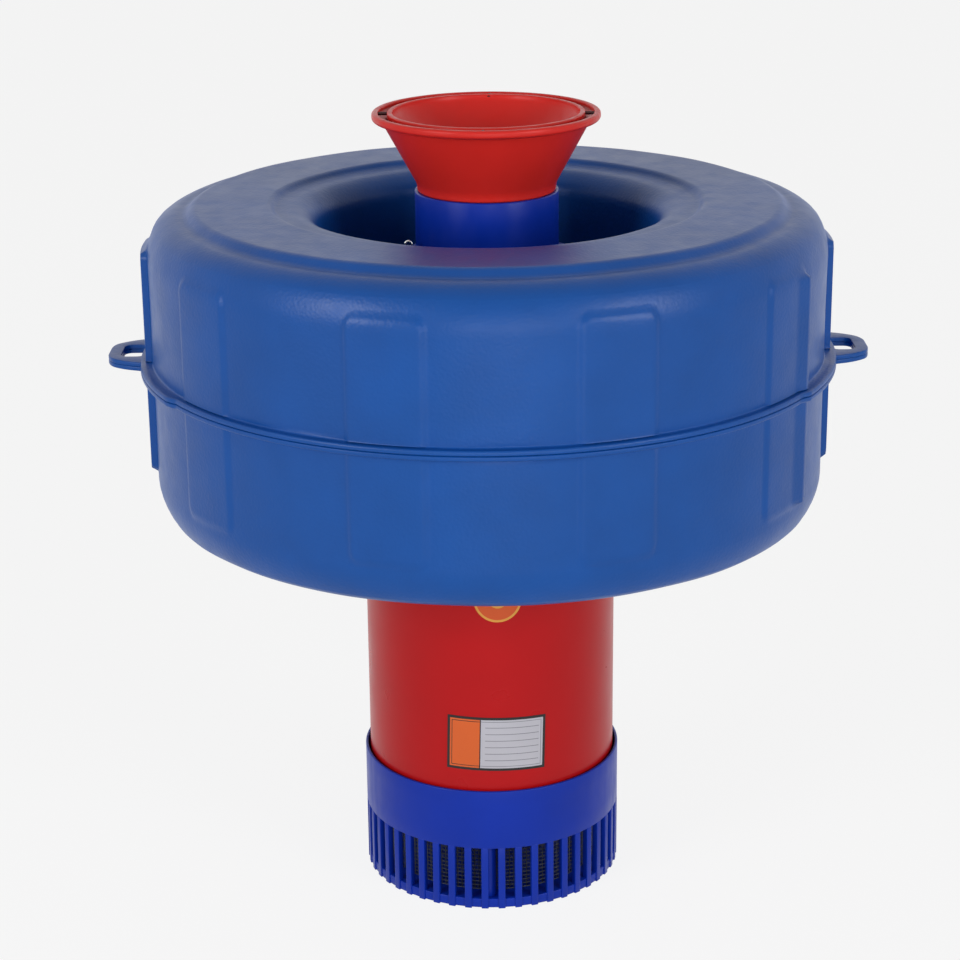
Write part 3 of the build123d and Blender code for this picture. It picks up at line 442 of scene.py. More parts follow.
FINISHES: dict[Slot, Finish] = {
    Slot.FLOAT_BLUE: GrainedPlastic("float_blue", (0.004, 0.078, 0.345), 0.36, 0.07),
    Slot.TUBE_RED: Enamel("tube_red", (0.52, 0.006, 0.008), 0.3, 0.03),
    Slot.HORN_RED: GlossPlastic("horn_red", (0.78, 0.027, 0.02), 0.34, 0.04),
    Slot.ROYAL_BLUE: GlossPlastic("royal_blue", (0.003, 0.032, 0.4), 0.34, 0.06),
    Slot.STAINLESS: Steel("stainless", (0.66, 0.66, 0.64), 0.22, 0.04),
    Slot.SHAFT_STEEL: Laminated("shaft_steel", (0.45, 0.45, 0.46), 0.3, 0.06),
    Slot.CAST_GREY: Casting("cast_grey", (0.2, 0.21, 0.22), 0.55, 0.12),
    Slot.CAN_STEEL: Steel("can_steel", (0.55, 0.55, 0.56), 0.26, 0.04, (1.0, 1.0, 0.1)),
    Slot.COPPER: Wound("copper", (0.55, 0.2, 0.07), 0.3, 0.1),
    Slot.BLACK_RUBBER: GrainedPlastic("black_rubber", (0.02, 0.02, 0.02), 0.7, 0.15, 0.8, 0.05),
    Slot.BLACK_NYLON: GrainedPlastic("black_nylon", (0.022, 0.022, 0.024), 0.45, 0.12, 0.6, 0.02),
    Slot.CARBON: Finish("carbon", (0.05, 0.05, 0.05), 0.45, 0.15),
    Slot.CERAMIC: Finish("ceramic", (0.84, 0.83, 0.79), 0.18, 0.03),
}
# Near-black steel for the spacer pins: painted shade, standing for the shadow in the slots where the pins
# sit.
PAINTED_SHADE_PIN = Steel("painted_shade_pin", (0.06, 0.03, 0.03), 0.5, 0.1)
# Near-black bluish steel for the woven screen: painted shade of the strainer's dark inside, laid on wire
# that is stainless.
SCREEN_WIRE = Steel("screen_wire", (0.09, 0.1, 0.13), 0.45, 0.1)
PRINTS: dict[Field, Finish] = {
    Field.FRAME: Print("plate_frame", (0.006, 0.004, 0.005), 0.5, 0.1),
    Field.AMBER: Print("plate_amber", (0.76, 0.13, 0.02), 0.35, 0.04),
    Field.PALE: Print("plate_pale", (0.56, 0.55, 0.6), 0.35, 0.03),
    Field.RULE: Print("plate_rule", (0.26, 0.26, 0.3), 0.35, 0.05),
    Field.RING: Print("sticker_ring", (0.82, 0.38, 0.06), 0.35, 0.05),
    Field.DISC: Print("sticker_disc", (0.72, 0.1, 0.015), 0.35, 0.06),
}


class Shop:
    """Holds the built materials and hangs finished pieces on the frame."""

    def __init__(self, frame: dict) -> None:
        """Builds every material once.
        """
        self.frame = frame
        self.paint = {slot: finish.build() for slot, finish in FINISHES.items()}
        self.print = {part: finish.build() for part, finish in PRINTS.items()}
        self.painted_shade_pin = PAINTED_SHADE_PIN.build()
        self.screen_wire = SCREEN_WIRE.build()

    def dress_nodes(self) -> None:
        """Gives every CAD node the finish of its record slot, and the spacer pins a near-black steel that is
        painted shade.
        """
        for row in self.frame["record"]["subparts"]:
            item = self.frame["nodes"].get(row["node"])
            if item is not None:
                item.data.materials.clear()
                item.data.materials.append(self.paint[Slot(row["material_slot"])])
        # The spacer pins take the near-black steel, painted shade, in place of the finish of their record
        # slot.
        pins = self.frame["nodes"]["spacer_screws"].data.materials
        pins.clear()
        pins.append(self.painted_shade_pin)

    def piece(
        self, name: str, work: bmesh.types.BMesh, slot: Slot, nodes: Sequence[str] = (),
        body: str = "pump", sharp: float = 38.0, prints: Sequence[Field] = (),
    ) -> bpy.types.Object:
        """Turns finished mesh work into a piece on the frame.

        Args:
            name: Name of the piece.
            work: Finished mesh, which is freed.
            slot: Finish of the piece.
            nodes: CAD nodes that the piece stands for.
            body: Body that carries the piece.
            sharp: Angle in degrees past which an edge stays sharp.
            prints: Printed fields that take the place of the finish, by material index.

        Returns:
            The object.
        """
        mesh = bpy.data.meshes.new(name)
        work.to_mesh(mesh)
        work.free()
        mesh.shade_smooth()
        mesh.set_sharp_from_angle(angle=math.radians(sharp))
        for material in [self.print[part] for part in prints] or [self.paint[slot]]:
            mesh.materials.append(material)
        item = bpy.data.objects.new(name, mesh)
        bpy.context.scene.collection.objects.link(item)
        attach(item, body)
        if nodes:
            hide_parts(*nodes)
        LOG.info("%s: %d faces", name, len(mesh.polygons))
        return item

    def refined(self, node: str, slot: Slot, name: str, body: str = "pump") -> bpy.types.Object:
        """Returns a merged, smoothly shaded copy of a CAD node that stands for it.

        Args:
            node: Name of the CAD node.
            slot: Finish of the copy.
            name: Name of the copy.
            body: Body that carries it.

        Returns:
            The object.
        """
        work = bmesh.new()
        work.from_mesh(self.frame["nodes"][node].data)
        bmesh.ops.remove_doubles(work, verts=work.verts, dist=CAD_WELD)
        return self.piece(name, work, slot, (node,), body, 30.0)


def outline(
    work: bmesh.types.BMesh, corners: Sequence[Corner], closed: bool, arcs: int, upright: bool = True
) -> None:
    """Draws a line through corners and rounds each by its own length.

    Args:
        work: Mesh that gets the line.
        corners: Two coordinates and the rounding of each corner, in millimetres.
        closed: Whether the line returns to its start.
        arcs: Segments of each rounding.
        upright: Whether the line stands in the XZ plane or lies in the XY plane.
    """
    points = [(a * MM, 0, b * MM) if upright else (a * MM, b * MM, 0) for a, b, _ in corners]
    verts = [work.verts.new(point) for point in points]
    for first, second in zip(verts, verts[1:]):
        work.edges.new((first, second))
    if closed:
        work.edges.new((verts[-1], verts[0]))
    for vert, (_, _, rounding) in zip(verts, corners):
        if rounding > 0:
            bmesh.ops.bevel(
                work, geom=[vert], offset=rounding * MM, offset_type="OFFSET", segments=arcs,
                profile=0.5, affect="VERTICES", material=-1, clamp_overlap=False,
            )


def swept(work: bmesh.types.BMesh, steps: int) -> None:
    """Sweeps every line of the mesh once round the Z axis.

    Args:
        work: Mesh to change.
        steps: Columns round the axis.
    """
    bmesh.ops.spin(
        work, geom=work.verts[:] + work.edges[:], cent=(0, 0, 0), axis=(0, 0, 1), dvec=(0, 0, 0),
        angle=TURN, steps=steps, use_merge=True, use_duplicate=False,
    )


def repeated(work: bmesh.types.BMesh, count: int) -> None:
    """Repeats what is in the mesh round the pump's axis.

    Args:
        work: Mesh with one copy.
        count: Copies in all.
    """
    bmesh.ops.spin(
        work, geom=work.verts[:] + work.edges[:] + work.faces[:], cent=(0, 0, 0), axis=(0, 0, 1),
        dvec=(0, 0, 0), angle=TURN * (count - 1) / count, steps=count - 1, use_merge=False,
        use_duplicate=True,
    )


def thickened(work: bmesh.types.BMesh, height: float) -> None:
    """Extrudes every flat face upward into a closed plate.

    Args:
        work: Mesh to change.
        height: Thickness of the plate in millimetres.
    """
    grown = bmesh.ops.extrude_face_region(work, geom=work.faces[:], use_keep_orig=True)
    lifted = [item for item in grown["geom"] if isinstance(item, bmesh.types.BMVert)]
    bmesh.ops.translate(work, verts=lifted, vec=(0, 0, height * MM))
    bmesh.ops.recalc_face_normals(work, faces=work.faces)


def turned(
    corners: Sequence[Corner], steps: int = 192, closed: bool = True, arcs: int = 4, rows: float = 0.0
) -> bmesh.types.BMesh:
    """Turns a profile about the pump's axis.

    Args:
        corners: Radius, height and rounding of each corner, in millimetres.
        steps: Columns round the axis.
        closed: Whether the profile is a ring, or else ends on the axis.
        arcs: Segments of each rounding.
        rows: Longest step along the profile in millimetres, or 0 for no limit.

    Returns:
        The turned mesh.
    """
    work = bmesh.new()
    outline(work, corners, closed, arcs)
    if rows > 0:
        for edge in list(work.edges):
            cuts = int(edge.calc_length() / (rows * MM))
            if cuts > 0:
                bmesh.ops.subdivide_edges(work, edges=[edge], cuts=cuts)
    swept(work, steps)
    bmesh.ops.remove_doubles(work, verts=work.verts, dist=WELD)
    bmesh.ops.recalc_face_normals(work, faces=work.faces)
    return work


def round_edges(work: bmesh.types.BMesh, size: float, segments: int = 2, angle: float = 60.0) -> None:
    """Rounds every edge sharper than an angle.

    Args:
        work: Mesh to change.
        size: Rounding in millimetres.
        segments: Segments of the rounding.
        angle: Least angle in degrees between the faces of a rounded edge.
    """
    edges = [e for e in work.edges if len(e.link_faces) == 2 and e.calc_face_angle() > math.radians(angle)]
    bmesh.ops.bevel(
        work, geom=edges, offset=size * MM, offset_type="OFFSET", segments=segments, profile=0.5,
        affect="EDGES", material=-1, clamp_overlap=True,
    )


def ease(value: float) -> float:
    """Returns a smooth step of a value between 0 and 1."""
    value = min(max(value, 0.0), 1.0)
    return value * value * (3 - 2 * value)


def polar(radius: float, degrees: float, height: float) -> Vector:
    """Returns a point in metres from millimetres and degrees."""
    angle = math.radians(degrees)
    return Vector((radius * math.cos(angle), radius * math.sin(angle), height)) * MM


@dataclass
class Float:
    """Blow-moulded ring float in two shells, with raised pads, seam flange and mooring lugs."""

    radius: float = 298.5
    seam: float = 497.0
    columns: int = 360
    pads: int = 10
    pad_start: float = -106.1
    pad_half: float = 32.3
    pad_low: float = 400.0
    pad_high: float = 605.0
    pad_rise: float = 2.1
    pad_slope: float = 5.0
    pad_round: float = 9.0
    gathers: tuple[tuple[float, float], ...] = ((3 / 18, 4.7), (11 / 18, 7.9))
    padded_wall: tuple[float, float] = (266.0, 299.0)
    flange_from: float = 300.0
    wide_half: float = 30.0
    wide_step: float = 4.0
    wide_slope: float = 1.6
    wall_from: float = 290.0
    well_radius: float = 152.0
    calm_half: float = 6.0
    wave_rate: float = 14.0
    wave_size: float = 0.5
    lug_layer: float = 4.0
    lug_edge: float = 0.9
    lug_outline: tuple[Corner, ...] = (
        (292.0, -46.0, 0.0), (327.0, -33.0, 12.0), (339.0, -19.0, 9.0), (339.0, 19.0, 9.0),
        (327.0, 33.0, 12.0), (292.0, 46.0, 0.0),
    )
    lug_slot: tuple[Corner, ...] = (
        (306.5, -19.0, 7.0), (327.5, -19.0, 7.0), (327.5, 19.0, 7.0), (306.5, 19.0, 7.0),
    )
    upper: tuple[Corner, ...] = (
        (154.0, 472.0, 0.5), (119.0, 472.0, 0.8), (119.0, 478.0, 0.8), (150.0, 478.0, 2.0),
        (150.0, 631.0, 20.8), (180.0, 631.4, 4.0), (186.5, 632.0, 2.5), (190.5, 636.5, 2.8),
        (257.5, 636.5, 3.2), (264.5, 629.6, 3.2), (284.2, 629.5, 12.5), (298.5, 608.5, 15.0),
        (298.5, 501.8, 1.6), (305.4, 501.4, 1.7), (305.4, 497.7, 0.5), (303.9, 497.0, 0.0),
        (154.0, 497.0, 0.0),
    )
    lower: tuple[Corner, ...] = (
        (158.0, 497.0, 0.0), (303.9, 497.0, 0.0), (305.4, 496.3, 0.5), (305.4, 492.6, 1.7),
        (298.5, 492.2, 1.6), (298.5, 380.6, 15.0), (284.4, 361.0, 11.5), (119.0, 361.0, 10.0),
        (119.0, 472.0, 0.8), (158.0, 472.0, 0.5),
    )

    def build(self, shop: Shop) -> None:
        """Builds both shells and the four layers of the lugs."""
        upper = turned(self.upper, self.columns, True, 5, 3.5)
        self.mould(upper)
        shop.piece("float_top", upper, Slot.FLOAT_BLUE, ("float_upper_shell",))
        lower = turned(self.lower, self.columns, True, 5, 3.6)
        self.mould(lower)
        shop.piece("float_bottom", lower, Slot.FLOAT_BLUE, ("float_lower_shell",))
        shop.piece("lugs_top", self.lugs(self.seam), Slot.FLOAT_BLUE, ("float_upper_shell",))
        below = self.lugs(self.seam - self.lug_layer)
        shop.piece("lugs_bottom", below, Slot.FLOAT_BLUE, ("float_lower_shell",))

    def gathered(self, degrees: float) -> float:
        """Returns the azimuth of a column, with columns gathered at the edges of the pads.

        Args:
            degrees: Azimuth of the evenly spaced column.

        Returns:
            Azimuth of the moved column.
        """
        pitch = 360.0 / self.pads
        offset = (degrees - self.pad_start + pitch / 2) % pitch - pitch / 2
        share = abs(offset) / (pitch / 2)
        marks = ((0.0, 0.0), *self.gathers, (1.0, pitch / 2))
        for (low, start), (high, end) in zip(marks, marks[1:]):
            if share <= high + 1e-9:
                moved = start + (end - start) * (share - low) / (high - low)
                return degrees - offset + math.copysign(moved, offset)
        return degrees

    def pad_height(self, degrees: float, height: float) -> float:
        """Returns how far the wall stands proud at a place.

        Args:
            degrees: Azimuth of the place.
            height: Height of the place in millimetres.

        Returns:
            Rise over the plain wall in millimetres.
        """
        pitch = 360.0 / self.pads
        offset = (degrees - self.pad_start + pitch / 2) % pitch - pitch / 2
        across = abs(math.radians(offset)) * self.radius - self.pad_half + self.pad_round
        middle = (self.pad_low + self.pad_high) / 2
        along = abs(height - middle) - (self.pad_high - self.pad_low) / 2 + self.pad_round
        outside = math.hypot(max(across, 0), max(along, 0)) + min(max(across, along), 0) - self.pad_round
        return self.pad_rise * ease(0.5 - outside / self.pad_slope)

    def mould(self, work: bmesh.types.BMesh) -> None:
        """Moves the turned skin: pads, wide flange at the lugs and the slow waves of the moulding.

        Args:
            work: Turned shell.
        """
        for vert in work.verts:
            radius = math.hypot(vert.co.x, vert.co.y) / MM
            height = vert.co.z / MM
            degrees = self.gathered(math.degrees(math.atan2(vert.co.y, vert.co.x)))
            if self.padded_wall[0] < radius < self.padded_wall[1]:
                radius += self.pad_height(degrees, height)
            if radius > self.flange_from:
                side = min(abs((degrees + 180) % 360 - 180), abs(degrees % 360 - 180))
                radius += self.wide_step * ease((self.wide_half - side) / self.wide_slope + 0.5)
            elif abs(height - self.seam) > self.calm_half and radius > self.well_radius:
                wave = noise.noise(polar(radius, degrees, height) * self.wave_rate) * self.wave_size
                if radius > self.wall_from:
                    radius += wave
                if radius <= self.wall_from:
                    height += wave
            vert.co = polar(radius, degrees, height)

    def lugs(self, low: float) -> bmesh.types.BMesh:
        """Returns one layer of both lugs.

        Args:
            low: Lower face in millimetres.

        Returns:
            Two closed plates with rounded slots.
        """
        work = bmesh.new()
        outline(work, self.lug_outline, True, 6, False)
        outline(work, self.lug_slot, True, 6, False)
        bmesh.ops.triangle_fill(work, use_beauty=True, use_dissolve=False, edges=work.edges)
        bmesh.ops.translate(work, verts=work.verts, vec=(0, 0, low * MM))
        thickened(work, self.lug_layer)
        round_edges(work, self.lug_edge, 3, 70)
        repeated(work, 2)
        return work


@dataclass
class Horn:
    """Spray horn with its rolled lip, and the bowl-shaped cone inside its mouth."""

    steps: int = 224
    rows: float = 9.0
    shell: tuple[Corner, ...] = (
        (53.4, 612.0, 0.6), (56.3, 612.0, 0.8), (56.3, 645.0, 0.2), (61.0, 645.0, 1.6),
        (61.0, 651.0, 3.2), (91.0, 706.0, 1.6), (99.8, 707.4, 2.2), (99.8, 714.0, 2.6),
        (94.2, 714.0, 1.6), (94.2, 709.5, 2.0), (88.0, 706.0, 2.0), (58.0, 652.0, 3.0),
        (53.4, 642.0, 2.0),
    )
    cone: tuple[Corner, ...] = (
        (0.0, 650.0, 0.0), (16.0, 650.0, 14.0), (31.0, 656.2, 12.0), (86.2, 708.6, 2.0),
        (86.2, 714.0, 1.5), (81.6, 714.0, 1.4), (81.6, 710.2, 3.0), (60.0, 684.0, 16.0),
        (31.0, 661.5, 16.0), (15.0, 655.0, 12.0), (0.0, 655.0, 0.0),
    )

    def build(self, shop: Shop) -> None:
        """Builds the horn and the cone."""
        shell = turned(self.shell, self.steps, True, 5, self.rows)
        shop.piece("horn_shell", shell, Slot.HORN_RED, ("spray_horn",))
        cone = turned(self.cone, self.steps, False, 6, self.rows)
        shop.piece("mouth_cone", cone, Slot.HORN_RED, ("inner_cone",))


@dataclass
class Column:
    """Upright tubes: red casing tube with its plate and sticker, and the outlet pipe."""

    tube_radius: float = 114.3
    tube: tuple[Corner, ...] = (
        (111.3, 66.0, 0.3), (114.3, 66.0, 0.4), (114.3, 476.0, 0.4), (111.3, 476.0, 0.3),
    )
    pipe: tuple[Corner, ...] = (
        (59.7, 552.0, 0.4), (63.2, 552.0, 0.6), (63.2, 645.0, 1.0), (59.7, 645.0, 0.6),
    )
    plate_low: float = 137.0
    plate_high: float = 189.0
    plate_width: float = 90.0
    plate_azimuth: float = -88.0
    plate_thick: float = 0.3
    plate_prints: tuple[Field, ...] = (Field.FRAME, Field.AMBER, Field.PALE, Field.RULE)
    print_lift: float = 0.05
    frame_width: float = 2.4
    plate_tilt: float = -1.4
    line_start: float = 1.6
    line_end: float = 2.2
    field_gap: float = 1.0
    rule_inset: float = 4.0
    rule_rows: tuple[float, ...] = (-2.5, -1.5, -0.5, 0.5, 1.5, 2.5)
    rule_pitch: float = 6.4
    rule_width: float = 0.7
    amber_share: float = 0.34
    sticker_marks: tuple[float, ...] = (0.0, 4.0, 7.6, 8.4, 12.0, 16.0, 19.4, 20.4, 21.5)
    sticker_prints: tuple[Field, ...] = (Field.RING, Field.DISC)
    sticker_disc: tuple[float, float] = (8.0, 19.6)
    sticker_thick: float = 0.25
    sticker_height: float = 302.5
    sticker_azimuth: float = -87.0

    def build(self, shop: Shop) -> None:
        """Builds both tubes, the plate and the sticker."""
        shop.piece("red_tube", turned(self.tube, 256, True, 3, 24.0), Slot.TUBE_RED, ("casing_tube",))
        shop.piece("blue_pipe", turned(self.pipe, 192, True, 3, 20.0), Slot.ROYAL_BLUE, ("outlet_pipe",))
        shop.piece("blank_plate", self.plate(), Slot.TUBE_RED, prints=self.plate_prints)
        shop.piece("round_sticker", self.sticker(), Slot.TUBE_RED, prints=self.sticker_prints)

    def wrapped(self, work: bmesh.types.BMesh, azimuth: float, height: float) -> None:
        """Wraps a flat sheet, drawn in XY, round the tube.

        Args:
            work: Flat sheet.
            azimuth: Azimuth of the sheet's middle in degrees.
            height: Height of the sheet's middle in millimetres.
        """
        for vert in work.verts:
            along = vert.co.x / MM / self.tube_radius
            radius = self.tube_radius + self.print_lift + vert.co.z / MM
            vert.co = polar(radius, azimuth + math.degrees(along), height + vert.co.y / MM)

    def plate(self) -> bmesh.types.BMesh:
        """Builds the blank two-field plate in its frame.

        Returns:
            The plate, wrapped on the tube.
        """
        half, tall = self.plate_width / 2, (self.plate_high - self.plate_low) / 2
        edge = half - self.frame_width
        split = -half + self.plate_width * self.amber_share
        work = bmesh.new()
        bmesh.ops.create_grid(
            work, x_segments=24, y_segments=2, size=1.0, matrix=Matrix.Diagonal((half * MM, tall * MM, 1, 1))
        )
        start, end = self.line_start, self.line_end
        ruled_from, ruled_to = split + self.rule_inset, edge - self.rule_inset
        across = [
            -edge, -edge + start, -edge + end, split - self.field_gap, split, ruled_from, ruled_to,
            edge - end, edge - start, edge,
        ]
        rise = tall - self.frame_width
        upward = [-rise, -rise + start, -rise + end, rise - end, rise - start, rise]
        rules = [place * self.rule_pitch for place in self.rule_rows]
        upward += [place + side * self.rule_width / 2 for place in rules for side in (-1, 1)]
        for place in across:
            bmesh.ops.bisect_plane(
                work, geom=work.verts[:] + work.edges[:] + work.faces[:], plane_co=(place * MM, 0, 0),
                plane_no=(1, 0, 0), dist=SHEET_WELD,
            )
        for place in upward:
            bmesh.ops.bisect_plane(
                work, geom=work.verts[:] + work.edges[:] + work.faces[:], plane_co=(0, place * MM, 0),
                plane_no=(0, 1, 0), dist=SHEET_WELD,
            )
        for face in work.faces:
            spot = face.calc_center_median() / MM
            print_field = self.field_at(spot.x, spot.y, edge, rise, split)
            ruled = any(abs(spot.y - place) < self.rule_width / 2 for place in rules)
            if ruled and ruled_from < spot.x < ruled_to:
                print_field = Field.RULE
            face.material_index = self.plate_prints.index(print_field)
        thickened(work, self.plate_thick)
        tilt = Matrix.Rotation(math.radians(self.plate_tilt), 3, "Z")
        bmesh.ops.rotate(work, verts=work.verts, cent=(0, 0, 0), matrix=tilt)
        self.wrapped(work, self.plate_azimuth, (self.plate_low + self.plate_high) / 2)
        return work

    def field_at(self, across: float, upward: float, edge: float, rise: float, split: float) -> Field:
        """Returns the printed field at a place on the plate.

        Args:
            across: Distance from the middle in millimetres.
            upward: Height over the middle in millimetres.
            edge: Half the width inside the frame.
            rise: Half the height inside the frame.
            split: Where the two fields meet.

        Returns:
            The field.
        """
        if abs(across) > edge or abs(upward) > rise or split - self.field_gap < across < split:
            return Field.FRAME
        inset = min(edge - abs(across), rise - abs(upward))
        if self.line_start < inset < self.line_end:
            return Field.RULE if across > split else Field.FRAME
        return Field.AMBER if across < split else Field.PALE

    def sticker(self) -> bmesh.types.BMesh:
        """Builds the plain round sticker, a disc with a lighter rim ring.

        Returns:
            The sticker, wrapped on the tube.
        """
        work = bmesh.new()
        verts = [work.verts.new((mark * MM, 0, 0)) for mark in self.sticker_marks]
        for first, second in zip(verts, verts[1:]):
            work.edges.new((first, second))
        swept(work, 72)
        bmesh.ops.remove_doubles(work, verts=work.verts, dist=SHEET_WELD)
        inner, outer = self.sticker_disc
        for face in work.faces:
            away = face.calc_center_median().length / MM
            print_field = Field.DISC if inner <= away <= outer else Field.RING
            face.material_index = self.sticker_prints.index(print_field)
        thickened(work, self.sticker_thick)
        self.wrapped(work, self.sticker_azimuth, self.sticker_height)
        return work


@dataclass
class Strainer:
    """Slotted strainer with its collar, posts, floor and the woven screen inside."""

    slots: int = 48
    slot_width: float = 9.0
    outer: float = 118.9
    wall: float = 5.5
    floor: float = 9.5
    ledge: float = 61.0
    collar: tuple[Corner, ...] = (
        (92.0, 61.0, 0.6), (118.9, 61.0, 0.8), (118.9, 118.0, 0.9), (116.3, 118.0, 0.7),
        (116.3, 66.0, 0.6), (92.0, 66.0, 0.6),
    )
    disc: tuple[Corner, ...] = (
        (0.0, 2.5, 0.0), (112.0, 2.5, 0.3), (114.0, 0.6, 0.5), (117.9, 0.6, 0.9), (117.9, 9.5, 0.9),
        (0.0, 9.5, 0.0),
    )
    bar_overlap: float = 0.5
    bar_edge: float = 0.5
    posts: int = 4
    post_radius: float = 6.5
    post_taper: float = 0.3
    post_edge: float = 0.6
    post_circle: float = 106.9
    post_start: float = -92.0
    screen_radius: float = 99.0
    screen_pitch: float = 4.0
    screen_gap: float = 0.6
    screen_wire: float = 1.0

    def build(self, shop: Shop) -> None:
        """Builds the strainer and its screen."""
        collar = turned(self.collar, 256, True, 3, 16.0)
        shop.piece("strainer_collar", collar, Slot.ROYAL_BLUE, ("strainer",))
        shop.piece("strainer_bars", self.bars(), Slot.ROYAL_BLUE, ("strainer",))
        disc = turned(self.disc, 192, False, 3, 20.0)
        shop.piece("strainer_floor", disc, Slot.ROYAL_BLUE, ("strainer",))
        shop.piece("strainer_posts", self.post_ring(), Slot.ROYAL_BLUE, ("strainer",))
        screen = shop.piece("woven_screen", self.screen(), Slot.STAINLESS, ("inlet_screen",))
        # The screen's stainless gives way to the near-black steel, which is painted shade of the strainer's
        # inside.
        screen.data.materials.clear()
        screen.data.materials.append(shop.screen_wire)

    def bars(self) -> bmesh.types.BMesh:
        """Builds the upright bars between the slots.

        Returns:
            All bars in one mesh.
        """
        half_slot = self.slot_width / 2
        work = bmesh.new()
        pitch = TURN / self.slots
        corners = []
        for radius, turns in ((self.outer, (1, 0.5, 0, -0.5, -1)), (self.outer - self.wall, (-1, 1))):
            reach = pitch / 2 - math.asin(half_slot / radius)
            corners += [(radius * math.cos(reach * turn), radius * math.sin(reach * turn)) for turn in turns]
        turn = Matrix.Rotation(pitch / 2, 4, "Z")
        verts = [work.verts.new(turn @ Vector((x * MM, y * MM, 0))) for x, y in corners]
        work.faces.new(verts)
        thickened(work, self.ledge + self.bar_overlap)
        round_edges(work, self.bar_edge, 2, 55)
        repeated(work, self.slots)
        return work

    def post_ring(self) -> bmesh.types.BMesh:
        """Builds the round screw posts that stand on the floor.

        Returns:
            All posts in one mesh.
        """
        work = bmesh.new()
        middle = polar(self.post_circle, self.post_start, (self.floor + self.ledge) / 2)
        bmesh.ops.create_cone(
            work, cap_ends=True, cap_tris=False, segments=32, radius1=self.post_radius * MM,
            radius2=(self.post_radius - self.post_taper) * MM, depth=(self.ledge - self.floor) * MM,
            matrix=Matrix.Translation(middle),
        )
        round_edges(work, self.post_edge)
        repeated(work, self.posts)
        return work

    def screen(self) -> bmesh.types.BMesh:
        """Builds the woven wire screen with its two bands.

        Returns:
            The screen.
        """
        low, high = self.floor + self.screen_gap, self.ledge - self.screen_gap
        work = bmesh.new()
        outline(work, ((self.screen_radius, low, 0.0), (self.screen_radius, high, 0.0)), False, 1)
        cuts = int((high - low) / self.screen_pitch)
        bmesh.ops.subdivide_edges(work, edges=work.edges[:], cuts=cuts)
        swept(work, int(TURN * self.screen_radius / self.screen_pitch))
        bmesh.ops.recalc_face_normals(work, faces=work.faces)
        bmesh.ops.wireframe(
            work, faces=work.faces[:], thickness=self.screen_wire * MM, offset=0.5, use_replace=True,
            use_boundary=True, use_even_offset=True,
        )
        return work


@dataclass
class Hardware:
    """Screw eye, and smooth copies of the bolts, gland, head and pump castings."""

    smoothed: dict[str, Slot] = field(default_factory=lambda: {
        "discharge_head": Slot.ROYAL_BLUE, "strainer_screws": Slot.STAINLESS,
        "float_mount_bolts": Slot.STAINLESS, "float_mount_nuts": Slot.STAINLESS,
        "tie_rod_nuts": Slot.STAINLESS, "gland_body": Slot.BLACK_NYLON, "gland_nut": Slot.BLACK_NYLON,
        "suction_cover": Slot.CAST_GREY, "diffuser_casing": Slot.CAST_GREY,
    })
    eye_circle: float = 77.0
    eye_azimuth: float = 207.0
    eye_height: float = 603.4
    eye_ring: float = 3.3
    eye_wire: float = 0.9
    eye_foot: float = 576.0

    def build(self, shop: Shop) -> None:
        """Builds the screw eye and the smooth copies."""
        for node, slot in self.smoothed.items():
            shop.refined(node, slot, node + "_smooth")
        shop.refined("impeller", Slot.CAST_GREY, "impeller_smooth", "rotor")
        shop.piece("wire_eye", self.eye(), Slot.STAINLESS, ("cable_eye",))

    def eye(self) -> bmesh.types.BMesh:
        """Builds the wire eye with its stem.

        Returns:
            The eye.
        """
        foot = polar(self.eye_circle, self.eye_azimuth, 0.0)
        work = bmesh.new()
        start = Matrix.Translation((self.eye_ring * MM, 0, 0)) @ Matrix.Rotation(math.pi / 2, 4, "X")
        bmesh.ops.create_circle(work, cap_ends=False, segments=14, radius=self.eye_wire * MM, matrix=start)
        swept(work, 36)
        bmesh.ops.recalc_face_normals(work, faces=work.faces)
        bmesh.ops.rotate(work, verts=work.verts, cent=(0, 0, 0), matrix=Matrix.Rotation(math.pi / 2, 3, "X"))
        bmesh.ops.translate(work, verts=work.verts, vec=foot + Vector((0, 0, self.eye_height * MM)))
        top = self.eye_height - self.eye_ring
        bmesh.ops.create_cone(
            work, cap_ends=True, cap_tris=False, segments=16, radius1=self.eye_wire * MM,
            radius2=self.eye_wire * MM, depth=(top - self.eye_foot) * MM,
            matrix=Matrix.Translation(foot + Vector((0, 0, (top + self.eye_foot) / 2 * MM))),
        )
        return work


@dataclass(frozen=True)
class Lamp:
    """Square soft lamp: name, place and side in metres, and power in watts."""

    name: str
    place: Spot
    size: float
    power: float


